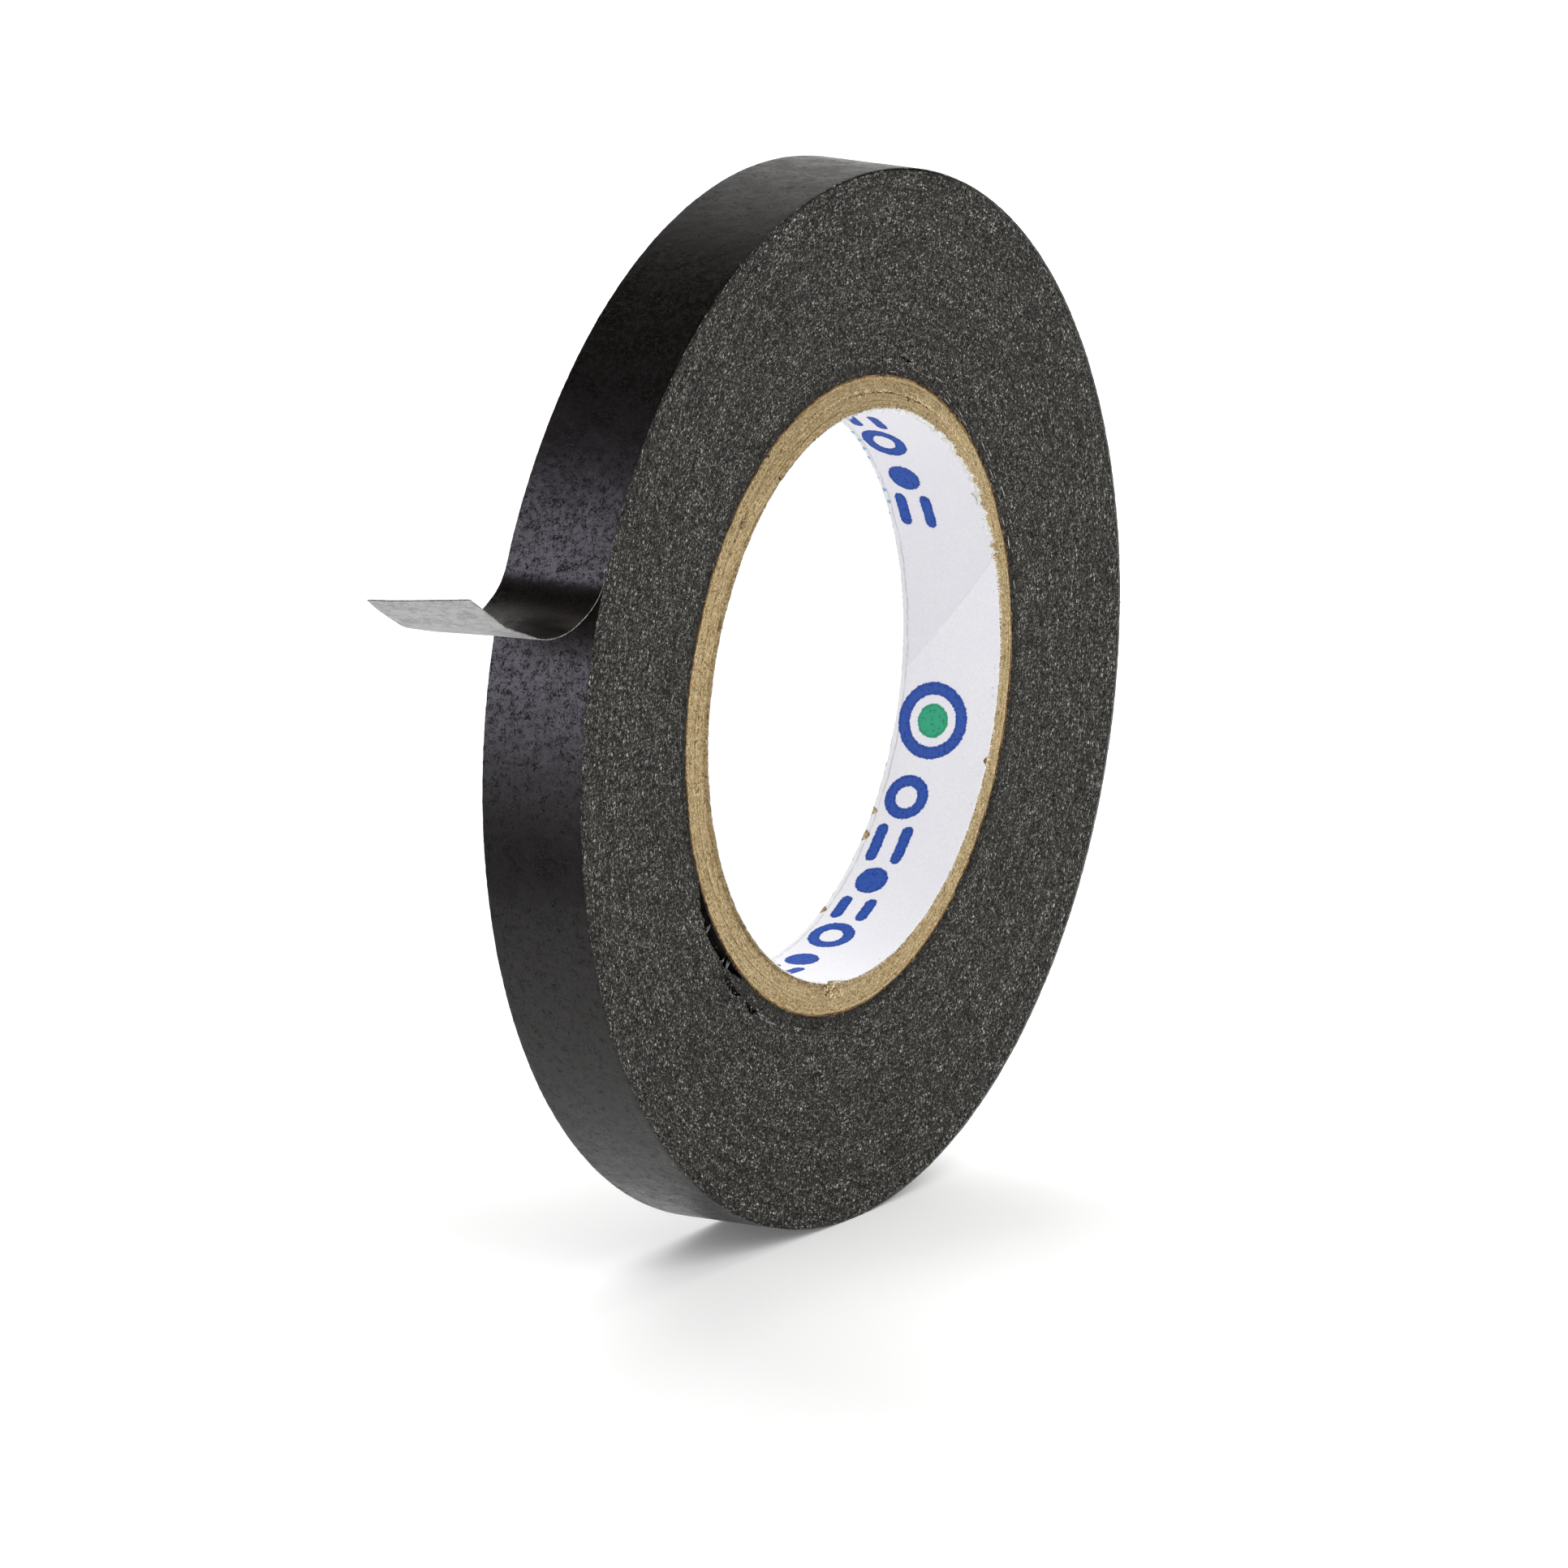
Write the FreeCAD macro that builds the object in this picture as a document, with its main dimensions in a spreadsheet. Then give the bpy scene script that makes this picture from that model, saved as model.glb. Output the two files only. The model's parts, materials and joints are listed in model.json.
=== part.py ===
import FreeCAD, Part
import Sketcher
import math
import os

# Roll of narrow black paper tape, standing on its rim with its free end peeled out.
#
# Frame: the origin is the centre of the core's bore, +Y runs along the bore axis and +Z is up.
# The roll's front face looks along -Y and the free end of the tape stands out on the -X side.
# The tape is wound a little off the centre of the core, so its own centre has an offset.

# Driving dimensions: alias, value in millimetres or degrees, meaning.
SIZES = [
    ("tape_width", 15.0, "width of the tape, and length of the core"),
    ("bore_radius", 38.1, "inside of the liner, for a 3 inch mandrel"),
    ("liner_thickness", 0.15, "white lining paper"),
    ("ply_thickness", 0.53, "one ply of core board"),
    ("ply_count", 8, "plies of core board"),
    ("kraft_thickness", 0.21, "brown outermost ply of the core"),
    ("loose_plies", 4, "inner plies that have crept out of the front face"),
    ("ply_creep", 0.85, "how far the liner stands out of the front face"),
    ("creep_step", 0.08, "how much less each following ply stands out"),
    ("seam_slant", 50.0, "angle of a spiral seam from the core's axis"),
    ("seam_width", 0.30, "gap of a board ply's butt seam"),
    ("liner_seam_width", 0.12, "gap of the liner's seam"),
    ("liner_seam_angle", 4.0, "place of the liner's seam round the axis"),
    ("seam_step", 103.0, "angle from one ply's seam to the next one's"),
    ("inner_turns_thickness", 2.2, "first dozen turns, which hold to the core"),
    ("core_gap_angle", 216.5, "middle of the gap between the core and the first turns"),
    ("core_gap_half", 13.5, "half of the angle that this gap takes"),
    ("core_gap_depth", 1.85, "widest part of this gap"),
    ("tape_offset_x", 0.9, "centre of the wound tape from the bore's axis"),
    ("tape_offset_z", -0.7, "centre of the wound tape from the bore's axis"),
    ("pack_radius", 70.1, "wound tape under the last turn"),
    ("roll_radius", 70.8, "outside of the last turn where the free end leaves it"),
    ("tape_thickness", 0.185, "backing and adhesive together"),
    ("backing_thickness", 0.14, "crinkled black paper"),
    ("lift_angle", 155.5, "where the free end leaves the roll, from +X towards +Z"),
    ("lap_angle", 1.5, "angle by which the last turn stops short under the free end"),
    ("peel_radius", 7.1, "tight bend where the tape lifts off"),
    ("peel_turn", 36.0, "angle of the tight bend"),
    ("hinge_arc", 2.5, "length of tape between the lift line and the peel hinge"),
    ("hinge_gap", 0.3, "gap in the tape at the peel hinge"),
    ("bow_radius", 19.0, "wide bend after the tight one"),
    ("bow_turn", 47.5, "angle of the wide bend"),
    ("flat_length", 6.5, "straight stretch of the free end"),
    ("curl_radius", 11.5, "curl near the cut end"),
    ("curl_turn", 13.0, "angle of the curl"),
    ("tip_length", 9.3, "straight stretch up to the cut end"),
]

# Small gaps between the first turns and the rest of the wound tape:
# middle angle, half angle and widest part.
PACK_GAPS = [
    (228.0, 2.6, 0.75),
    (235.8, 1.9, 0.70),
    (73.0, 4.2, 0.45),
]

CUT_OVERRUN = 1.0  # how far a cutting outline runs past the material

doc = FreeCAD.newDocument("tape_roll")
sheet = doc.addObject("Spreadsheet::Sheet", "Sizes")
for row, (alias, value, meaning) in enumerate(SIZES, start=1):
    sheet.set(f"A{row}", alias)
    sheet.set(f"B{row}", str(value))
    sheet.set(f"C{row}", meaning)
    sheet.setAlias(f"B{row}", alias)
doc.recompute()


def size(alias):
    """A driving dimension as a plain number."""
    return float(sheet.get(alias))


def direction(degrees):
    """Unit vector in the X-Z plane, as a sketch on that plane sees it."""
    angle = math.radians(degrees)
    return FreeCAD.Vector(math.cos(angle), math.sin(angle), 0)


def new_body(name):
    body = doc.addObject("PartDesign::Body", name)
    body.Label = name
    return body


def new_sketch(body, name, role):
    """A sketch on one of the body's own origin planes."""
    sketch = body.newObject("Sketcher::SketchObject", f"{body.Name}_{name}")
    plane = next(f for f in body.Origin.OriginFeatures if f.Role == role)
    sketch.AttachmentSupport = [(plane, "")]
    sketch.MapMode = "FlatFace"
    return sketch


def bind(sketch, constraint, name, expression):
    """Add a dimensional constraint and drive it from the sheet."""
    index = sketch.addConstraint(constraint)
    sketch.renameConstraint(index, name)
    sketch.setExpression(f"Constraints.{name}", expression)


def add_circle(sketch, name, radius, centre_x=None, centre_z=None):
    """A circle whose radius, and centre where given, are expressions on the sheet."""
    middle = FreeCAD.Vector(0, 0, 0)
    if centre_x is not None:
        middle = FreeCAD.Vector(sketch.evalExpression(centre_x), sketch.evalExpression(centre_z), 0)
    start_radius = sketch.evalExpression(radius)
    circle = sketch.addGeometry(Part.Circle(middle, FreeCAD.Vector(0, 0, 1), start_radius))
    if centre_x is None:
        sketch.addConstraint(Sketcher.Constraint("Coincident", circle, 3, -1, 1))
    else:
        across = Sketcher.Constraint("DistanceX", -1, 1, circle, 3, middle.x)
        up = Sketcher.Constraint("DistanceY", -1, 1, circle, 3, middle.y)
        bind(sketch, across, f"{name}_x", centre_x)
        bind(sketch, up, f"{name}_z", centre_z)
    bind(sketch, Sketcher.Constraint("Radius", circle, start_radius), f"{name}_radius", radius)


def add_polygon(sketch, corners):
    """A closed outline of straight lines. Each corner is a pair of expressions on the sheet."""
    points = [FreeCAD.Vector(*[sketch.evalExpression(e) for e in corner], 0) for corner in corners]
    lines = []
    for start, end in zip(points, points[1:] + points[:1]):
        lines.append(sketch.addGeometry(Part.LineSegment(start, end)))
    for line, following in zip(lines, lines[1:] + lines[:1]):
        sketch.addConstraint(Sketcher.Constraint("Coincident", line, 2, following, 1))
    for number, (line, point, corner) in enumerate(zip(lines, points, corners)):
        across = Sketcher.Constraint("DistanceX", -1, 1, line, 1, point.x)
        up = Sketcher.Constraint("DistanceY", -1, 1, line, 1, point.y)
        bind(sketch, across, f"corner_{number}_x", corner[0])
        bind(sketch, up, f"corner_{number}_y", corner[1])


def pad_full_width(body, sketch):
    """Extrude a profile over the tape's width, half to each side of the middle plane."""
    pad = body.newObject("PartDesign::Pad", f"{body.Name}_pad")
    pad.Profile = sketch
    pad.SideType = "Symmetric"
    pad.setExpression("Length", "Sizes.tape_width")
    return pad


def make_ring(name, inner, outer, outer_x=None, outer_z=None):
    """A ring between two circles. The inner one is centred on the bore's axis."""
    body = new_body(name)
    profile = new_sketch(body, "profile", "XZ_Plane")
    add_circle(profile, "outer", outer, outer_x, outer_z)
    add_circle(profile, "inner", inner)
    pad_full_width(body, profile)
    return body


def cut_gap(body, name, wall, middle, half, depth):
    """Hollow a ring's inner wall into a crescent, as deep as given at its middle angle."""
    chord = f"({wall}) * sin(({half}) * 1 deg)"
    rise = f"({wall}) * (1 - cos(({half}) * 1 deg)) + ({depth})"
    radius = f"(({chord}) * ({chord}) + ({rise}) * ({rise})) / (2 * ({rise}))"
    reach = f"(({wall}) + ({depth}) - {radius})"
    sketch = new_sketch(body, name, "XZ_Plane")
    across = f"{reach} * cos(({middle}) * 1 deg)"
    up = f"{reach} * sin(({middle}) * 1 deg)"
    add_circle(sketch, "gap", radius, across, up)
    pocket = body.newObject("PartDesign::Pocket", f"{body.Name}_{name}_cut")
    pocket.Profile = sketch
    pocket.Type = "ThroughAll"
    pocket.SideType = "Symmetric"


def cut_seam(body, width):
    """Slit a ply from face to face along its spiral seam, on the +X side."""
    reach = f"(Sizes.tape_width / 2 + {CUT_OVERRUN})"
    rise = f"{reach} * tan(Sizes.seam_slant * 1 deg)"
    half = f"({width}) / (2 * cos(Sizes.seam_slant * 1 deg))"
    sketch = new_sketch(body, "seam", "YZ_Plane")
    corners = [
        (f"-{reach}", f"{rise} - {half}"),
        (reach, f"-{rise} - {half}"),
        (reach, f"-{rise} + {half}"),
        (f"-{reach}", f"{rise} + {half}"),
    ]
    add_polygon(sketch, corners)
    pocket = body.newObject("PartDesign::Pocket", f"{body.Name}_seam_cut")
    pocket.Profile = sketch
    pocket.Reversed = True
    pocket.setExpression("Length", "Sizes.pack_radius")


def make_ply(name, inner, outer, seam_width, seam_angle, creep):
    """One spirally wound ply: a band whose slanted ends meet in a butt seam."""
    body = make_ring(name, inner, outer)
    cut_seam(body, seam_width)
    # Turning about -Y carries the seam from +X towards +Z.
    body.Placement.Rotation = FreeCAD.Rotation(FreeCAD.Vector(0, -1, 0), 0)
    body.setExpression("Placement.Rotation.Angle", f"({seam_angle}) * 1 deg")
    body.setExpression("Placement.Base.y", f"-({creep})")
    return body


def walk(start, heading, moves):
    """Follow tangent arcs and lines. A move is (radius, turn): a radius of None makes the turn a length.

    A positive turn bends left. Returns the steps taken, and the point and heading at the end.
    """
    steps = []
    for radius, turn in moves:
        if radius is None:
            end = start + direction(heading) * turn
            steps.append(("line", start, end, heading))
        else:
            side = math.copysign(1.0, turn)
            centre = start + direction(heading + 90 * side) * radius
            first = heading - 90 * side
            end = centre + direction(first + turn) * radius
            steps.append(("arc", centre, radius, first, turn))
            heading += turn
        start = end
    return steps, start, heading


def beside(step, offset):
    """The same step, moved to the left of the walk. Returns its curve and its two ends."""
    if step[0] == "line":
        _, start, end, heading = step
        shift = direction(heading + 90) * offset
        return Part.LineSegment(start + shift, end + shift), start + shift, end + shift
    _, centre, radius, first, turn = step
    radius -= math.copysign(offset, turn)
    last = first + turn
    circle = Part.Circle(centre, FreeCAD.Vector(0, 0, 1), radius)
    low, high = sorted((math.radians(first), math.radians(last)))
    curve = Part.ArcOfCircle(circle, low, high)
    return curve, centre + direction(first) * radius, centre + direction(last) * radius


def make_strip(name, steps, near, far):
    """A layer of tape that follows the steps, between two offsets to the left of them."""
    body = new_body(name)
    sketch = new_sketch(body, "profile", "XZ_Plane")
    sides = [[beside(step, offset) for step in steps] for offset in (near, far)]
    for side in sides:
        for curve, _, _ in side:
            sketch.addGeometry(curve)
    for end, corner in ((0, 1), (-1, 2)):
        sketch.addGeometry(Part.LineSegment(sides[0][end][corner], sides[1][end][corner]))
    pad_full_width(body, sketch)
    return body


# The core: lining paper, board plies and a brown outer ply, each wound as a spiral band.

nodes = []
nodes.append(make_ply(
    "core_liner",
    "Sizes.bore_radius",
    "Sizes.bore_radius + Sizes.liner_thickness",
    "Sizes.liner_seam_width",
    "Sizes.liner_seam_angle",
    "Sizes.ply_creep",
))
board_start = "Sizes.bore_radius + Sizes.liner_thickness"
for number in range(1, int(size("ply_count")) + 1):
    creep = "0"
    if number <= size("loose_plies"):
        creep = f"Sizes.ply_creep - {number} * Sizes.creep_step"
    nodes.append(make_ply(
        f"core_ply_{number}",
        f"{board_start} + {number - 1} * Sizes.ply_thickness",
        f"{board_start} + {number} * Sizes.ply_thickness",
        "Sizes.seam_width",
        f"Sizes.liner_seam_angle + {number} * Sizes.seam_step",
        creep,
    ))
board_end = f"{board_start} + Sizes.ply_count * Sizes.ply_thickness"
core_radius = f"{board_end} + Sizes.kraft_thickness"
nodes.append(make_ply(
    "core_outer_ply",
    board_end,
    core_radius,
    "Sizes.seam_width",
    "Sizes.liner_seam_angle - Sizes.seam_step",
    "0",
))

# The wound tape: the first turns on the core, then all the turns under the last one.

first_turns_radius = f"{core_radius} + Sizes.inner_turns_thickness"
inner_turns = make_ring("inner_turns", core_radius, first_turns_radius)
cut_gap(
    inner_turns,
    "core_gap",
    core_radius,
    "Sizes.core_gap_angle",
    "Sizes.core_gap_half",
    "Sizes.core_gap_depth",
)
nodes.append(inner_turns)

tape_pack = make_ring(
    "tape_pack",
    first_turns_radius,
    "Sizes.pack_radius",
    "Sizes.tape_offset_x",
    "Sizes.tape_offset_z",
)
for number, (middle, half, depth) in enumerate(PACK_GAPS, start=1):
    cut_gap(tape_pack, f"turn_gap_{number}", first_turns_radius, middle, half, depth)
nodes.append(tape_pack)

# The last turn: one turn of spiral that gains one thickness, then the stub that lifts off.

quarter = 90.0
gain = size("tape_thickness") / 4
tape_centre = FreeCAD.Vector(size("tape_offset_x"), size("tape_offset_z"), 0)
lift_point = tape_centre + direction(size("lift_angle")) * size("roll_radius")
lift_heading = size("lift_angle") + quarter

last_quarter_first = [(size("roll_radius") - gain * step, quarter) for step in range(4)]
last_quarter_first[-1] = (last_quarter_first[-1][0], quarter - size("lap_angle"))
back_moves = [(radius, -turn) for radius, turn in last_quarter_first]
_, spiral_start, back_heading = walk(lift_point, lift_heading + 180, back_moves)

arc_degrees = math.degrees(1 / size("peel_radius"))
stub_turn = (size("hinge_arc") - size("hinge_gap") / 2) * arc_degrees
gap_turn = size("hinge_gap") * arc_degrees
turn_moves = last_quarter_first[::-1] + [(size("peel_radius"), -stub_turn)]
turn_steps, stub_end, stub_heading = walk(spiral_start, back_heading - 180, turn_moves)

# The free end, which starts just past the peel hinge.

_, tail_start, tail_heading = walk(stub_end, stub_heading, [(size("peel_radius"), -gap_turn)])
tail_moves = [
    (size("peel_radius"), stub_turn + gap_turn - size("peel_turn")),
    (size("bow_radius"), -size("bow_turn")),
    (None, size("flat_length")),
    (size("curl_radius"), -size("curl_turn")),
    (None, size("tip_length")),
]
tail_steps, tail_end, _ = walk(tail_start, tail_heading, tail_moves)

layers = [
    ("backing", 0.0, size("backing_thickness")),
    ("adhesive", size("backing_thickness"), size("tape_thickness")),
]
for piece, steps in (("outer_turn", turn_steps), ("tail", tail_steps)):
    for layer, near, far in layers:
        nodes.append(make_strip(f"{piece}_{layer}", steps, near, far))

doc.recompute()

_, hinge_point, _ = walk(stub_end, stub_heading, [(size("peel_radius"), -gap_turn / 2)])
print("lift point", round(lift_point.x, 3), round(lift_point.y, 3))
print("peel hinge", round(hinge_point.x, 3), round(hinge_point.y, 3))
print("cut end", round(tail_end.x, 3), round(tail_end.y, 3))

for item in doc.Objects:
    if "Invalid" in item.State or "Error" in item.State:
        raise RuntimeError(f"{item.Name} failed: {item.State}")

os.makedirs("parts", exist_ok=True)
for node in nodes:
    shape = node.Shape
    if shape.isNull() or not shape.isValid():
        raise RuntimeError(f"{node.Label} has no valid shape")
    shape.exportStep(f"parts/{node.Label}.step")
    print(node.Label, len(shape.Solids), round(shape.Volume, 2))
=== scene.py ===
import json
import math
import bpy
import numpy as np
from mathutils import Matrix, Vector


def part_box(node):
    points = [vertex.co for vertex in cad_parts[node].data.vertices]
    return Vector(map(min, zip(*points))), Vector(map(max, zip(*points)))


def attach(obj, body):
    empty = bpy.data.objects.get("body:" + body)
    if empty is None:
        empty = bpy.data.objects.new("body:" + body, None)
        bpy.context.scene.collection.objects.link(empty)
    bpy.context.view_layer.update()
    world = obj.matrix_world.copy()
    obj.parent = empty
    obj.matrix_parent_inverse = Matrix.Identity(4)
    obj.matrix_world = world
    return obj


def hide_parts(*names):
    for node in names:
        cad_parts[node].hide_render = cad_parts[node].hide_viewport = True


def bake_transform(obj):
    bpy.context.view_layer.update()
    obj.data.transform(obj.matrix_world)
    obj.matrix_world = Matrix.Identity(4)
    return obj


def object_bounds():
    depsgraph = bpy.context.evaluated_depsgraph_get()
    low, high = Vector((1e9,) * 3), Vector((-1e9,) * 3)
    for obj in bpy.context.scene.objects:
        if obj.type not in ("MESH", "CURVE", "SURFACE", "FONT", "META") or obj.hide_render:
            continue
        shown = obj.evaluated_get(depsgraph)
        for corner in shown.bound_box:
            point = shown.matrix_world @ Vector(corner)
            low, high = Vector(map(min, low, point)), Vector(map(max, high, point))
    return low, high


# Looks of a roll of narrow black paper tape on a spirally wound paperboard core.
#
# Shapes are worked out in millimetres in the frame's own axes: the bore's axis is Y, the front
# face looks along -Y, and an angle is measured round the axis from +X towards +Z.

MM = 0.001
FULL_TURN = 2 * math.pi

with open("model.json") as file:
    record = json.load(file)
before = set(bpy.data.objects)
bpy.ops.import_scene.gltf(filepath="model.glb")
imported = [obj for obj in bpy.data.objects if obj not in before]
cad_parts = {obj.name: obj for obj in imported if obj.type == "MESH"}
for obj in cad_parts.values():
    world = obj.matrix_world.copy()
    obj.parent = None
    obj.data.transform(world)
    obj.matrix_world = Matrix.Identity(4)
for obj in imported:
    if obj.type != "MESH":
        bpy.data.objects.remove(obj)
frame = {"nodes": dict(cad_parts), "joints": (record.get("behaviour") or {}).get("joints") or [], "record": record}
cad_low, cad_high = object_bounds()


# ---- Sizes that come from the frame ----

def joint_place(name):
    """X and Z of a joint's axis, in millimetres."""
    joint = next(j for j in frame["joints"] if j["name"] == name)
    return np.array([joint["pos_m"][0], joint["pos_m"][2]]) / MM


def outer_radius(node):
    """Outer radius of a ring-shaped node, in millimetres."""
    low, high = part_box(node)
    return (high.z - low.z) / 2 / MM


def reach_in_front(node):
    """How far a node stands in front of the roll's middle plane, in millimetres."""
    return -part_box(node)[0].y / MM


BORE_RADIUS = next(m["dims"]["r_mm"] for m in frame["record"]["mounts"] if m["kind"] == "bore")
LINER_RADIUS = outer_radius("core_liner")
PLY_COUNT = sum(node.startswith("core_ply_") for node in frame["nodes"])
PLY_RADII = [LINER_RADIUS] + [outer_radius(f"core_ply_{n + 1}") for n in range(PLY_COUNT)]
CORE_RADIUS = outer_radius("core_outer_ply")
FIRST_TURNS_RADIUS = outer_radius("inner_turns")
HALF_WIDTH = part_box("tape_pack")[1].y / MM
TAPE_CENTRE = joint_place("unwind")

# The tape, as the CAD model holds it.
ROLL_RADIUS = 70.8        # outside of the last turn where the free end leaves it
TAPE_THICKNESS = 0.185
BACKING_THICKNESS = 0.14
LIFT_ANGLE = 155.5        # where the free end leaves the roll
FREE_END_BENDS = [        # (radius, turn in degrees), or (None, length) for a straight stretch
    (7.1, -36.0),
    (19.0, -47.5),
    (None, 6.5),
    (11.5, -13.0),
    (None, 9.3),
]
SEAM_SLANT = 50.0         # angle of a ply's spiral seam from the axis
LINER_SEAM_ANGLE = 4.0
SEAM_STEP = 103.0         # from one ply's seam to the next one's
SEAM_GAP = 0.3
CORE_GAP = (216.5, 13.5, 1.85)   # middle angle, half angle and depth of the gap beside the core
PACK_GAPS = [(226.8, 4.3, 1.05), (235.4, 2.9, 0.95), (73.0, 4.4, 0.5)]

PACK_LOOK_RADIUS = ROLL_RADIUS - 2 * TAPE_THICKNESS - 0.01   # the wound tape reaches the last turn


# ---- Random fields ----

NOISE_ROWS, NOISE_COLUMNS = 997, 211


def noise(u, v, seed, wrap=NOISE_ROWS):
    """A smooth random field from -1 to 1 with cells of one unit. Along u, wrap cells repeat."""
    table = np.random.default_rng(seed).uniform(-1, 1, (wrap, NOISE_COLUMNS))
    u, v = np.broadcast_arrays(np.asarray(u, float), np.asarray(v, float))
    row, column = np.floor(u).astype(int), np.floor(v).astype(int)
    along, across = u - row, v - column
    along, across = along * along * (3 - 2 * along), across * across * (3 - 2 * across)
    corners = [table[(row + i) % wrap, (column + k) % NOISE_COLUMNS]
               for i in (0, 1) for k in (0, 1)]
    near = corners[0] * (1 - across) + corners[1] * across
    far = corners[2] * (1 - across) + corners[3] * across
    return near * (1 - along) + far * along


def round_noise(angle, v, radius, cell, seed, stretch=1.0):
    """The same field wrapped round the axis: angle in radians, v and cell in millimetres."""
    count = max(3, round(FULL_TURN * radius / (cell * stretch)))
    return noise(np.asarray(angle) / FULL_TURN * count, np.asarray(v) / cell, seed, count)


def ragged_edge(angle, radius, *waves):
    """A sum of fields round the axis, each given by its height, cell and seed."""
    return sum(height * round_noise(angle, 0 * angle, radius, cell, seed)
               for height, cell, seed in waves)


def smooth(value, low, high):
    """Goes smoothly from 0 to 1 as value goes from low to high."""
    share = np.clip((value - low) / (high - low), 0, 1)
    return share * share * (3 - 2 * share)


def angle_from(angle, degrees):
    """Signed distance in degrees from a place round the axis."""
    return (np.degrees(angle) - degrees + 180) % 360 - 180


def around(radius, turn, y):
    """Points at a distance from the bore's axis, an angle round it and a place along it."""
    return np.stack([radius * np.cos(turn), y, radius * np.sin(turn)], -1)


# ---- Meshes ----

SHARP_ANGLE = 50          # degrees between two faces from which their edge is sharp


def add_object(name, data):
    thing = bpy.data.objects.new(name, data)
    bpy.context.scene.collection.objects.link(thing)
    return thing


def write_mesh(name, points, faces, materials, face_materials, corner_values, point_values):
    """A mesh object from arrays in millimetres. Its materials read each point's place at rest."""
    def add_values(label, kind, domain, key, values):
        layer = mesh.attributes.new(label, kind, domain)
        layer.data.foreach_set(key, values.astype(np.float32).ravel())

    mesh = bpy.data.meshes.new(name)
    mesh.vertices.add(len(points))
    mesh.vertices.foreach_set("co", (points * MM).astype(np.float32).ravel())
    sizes = np.array([len(face) for face in faces], np.int32)
    starts = np.concatenate([[0], np.cumsum(sizes)[:-1]])
    mesh.loops.add(int(sizes.sum()))
    mesh.loops.foreach_set("vertex_index", np.concatenate(faces).astype(np.int32))
    mesh.polygons.add(len(sizes))
    mesh.polygons.foreach_set("loop_start", starts.astype(np.int32))
    mesh.polygons.foreach_set("material_index", np.asarray(face_materials, np.int32))
    for material in materials:
        mesh.materials.append(material)
    mesh.update(calc_edges=True)
    mesh.validate()
    mesh.shade_smooth()
    mesh.set_sharp_from_angle(angle=math.radians(SHARP_ANGLE))
    add_values("place", "FLOAT_VECTOR", "POINT", "vector", points)
    for label, values in corner_values.items():
        add_values(label, "FLOAT_VECTOR", "CORNER", "vector", values)
    for label, values in point_values.items():
        add_values(label, "FLOAT", "POINT", "value", values)
    return add_object(name, mesh)


FRONT, OUTER, BACK, INNER = range(4)


def grid_piece(name, points, unrolled, side, materials, closed, point_values=None):
    """A solid skin: rows of points, each row one closed loop round a section.

    points is (rows, loop, 3). unrolled has one row more where the rows close, so that a texture
    runs on past the join. side tells on which side each point of the loop and the faces after it
    lie, and materials has one material for each side.
    """
    own = list(dict.fromkeys(materials))
    sides = np.array([own.index(materials[s]) for s in side])
    unrolled = np.concatenate([unrolled, unrolled[:, :1]], 1)
    rows, loop = points.shape[:2]
    steps = rows if closed else rows - 1
    i, k = np.meshgrid(np.arange(steps), np.arange(loop), indexing="ij")
    spots = [(i, k), (i, k + 1), (i + 1, k + 1), (i + 1, k)]
    quads = np.stack([(a % rows) * loop + b % loop for a, b in spots], -1).reshape(-1, 4)
    values = np.stack([unrolled[a, b] for a, b in spots], 2).reshape(-1, 4, 3)
    flat = points.reshape(-1, 3)
    faces = [*quads]
    face_materials = [*np.tile(sides, steps)]
    corner_values = [values.reshape(-1, 3)]
    if not closed:
        for row, order in ((0, 1), (rows - 1, -1)):
            ring = np.arange(loop)[::order]
            faces.append(row * loop + ring[::-1])
            face_materials.append(sides[-1])
            corner_values.append(unrolled[row, ring[::-1]])
    a, b, c, d = (flat[quads[:, n]] for n in range(4))
    inside_out = (np.cross(c - a, d - b) * (a + b + c + d)).sum() < 0
    if inside_out:
        faces = [face[::-1] for face in faces]
        for n, block in enumerate(corner_values):
            size = 4 if n == 0 else len(block)
            corner_values[n] = block.reshape(-1, size, 3)[:, ::-1].reshape(-1, 3)
    corner_values = {"unrolled": np.concatenate(corner_values)}
    return write_mesh(name, flat, faces, own, face_materials, corner_values, point_values or {})


def section_loop(across, outer_cells, inner_cells):
    """A walk round a ring's section: shares of the wall and the width, and side, point by point."""
    rise = np.arange(across) / across
    outer = np.arange(outer_cells) / outer_cells
    inner = np.arange(inner_cells) / inner_cells
    wall = np.concatenate([rise, np.ones(outer_cells), 1 - rise, np.zeros(inner_cells)])
    width = np.concatenate([np.zeros(across), outer, np.ones(across), 1 - inner])
    side = np.repeat([FRONT, OUTER, BACK, INNER], [across, outer_cells, across, inner_cells])
    return wall, width, side


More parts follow.
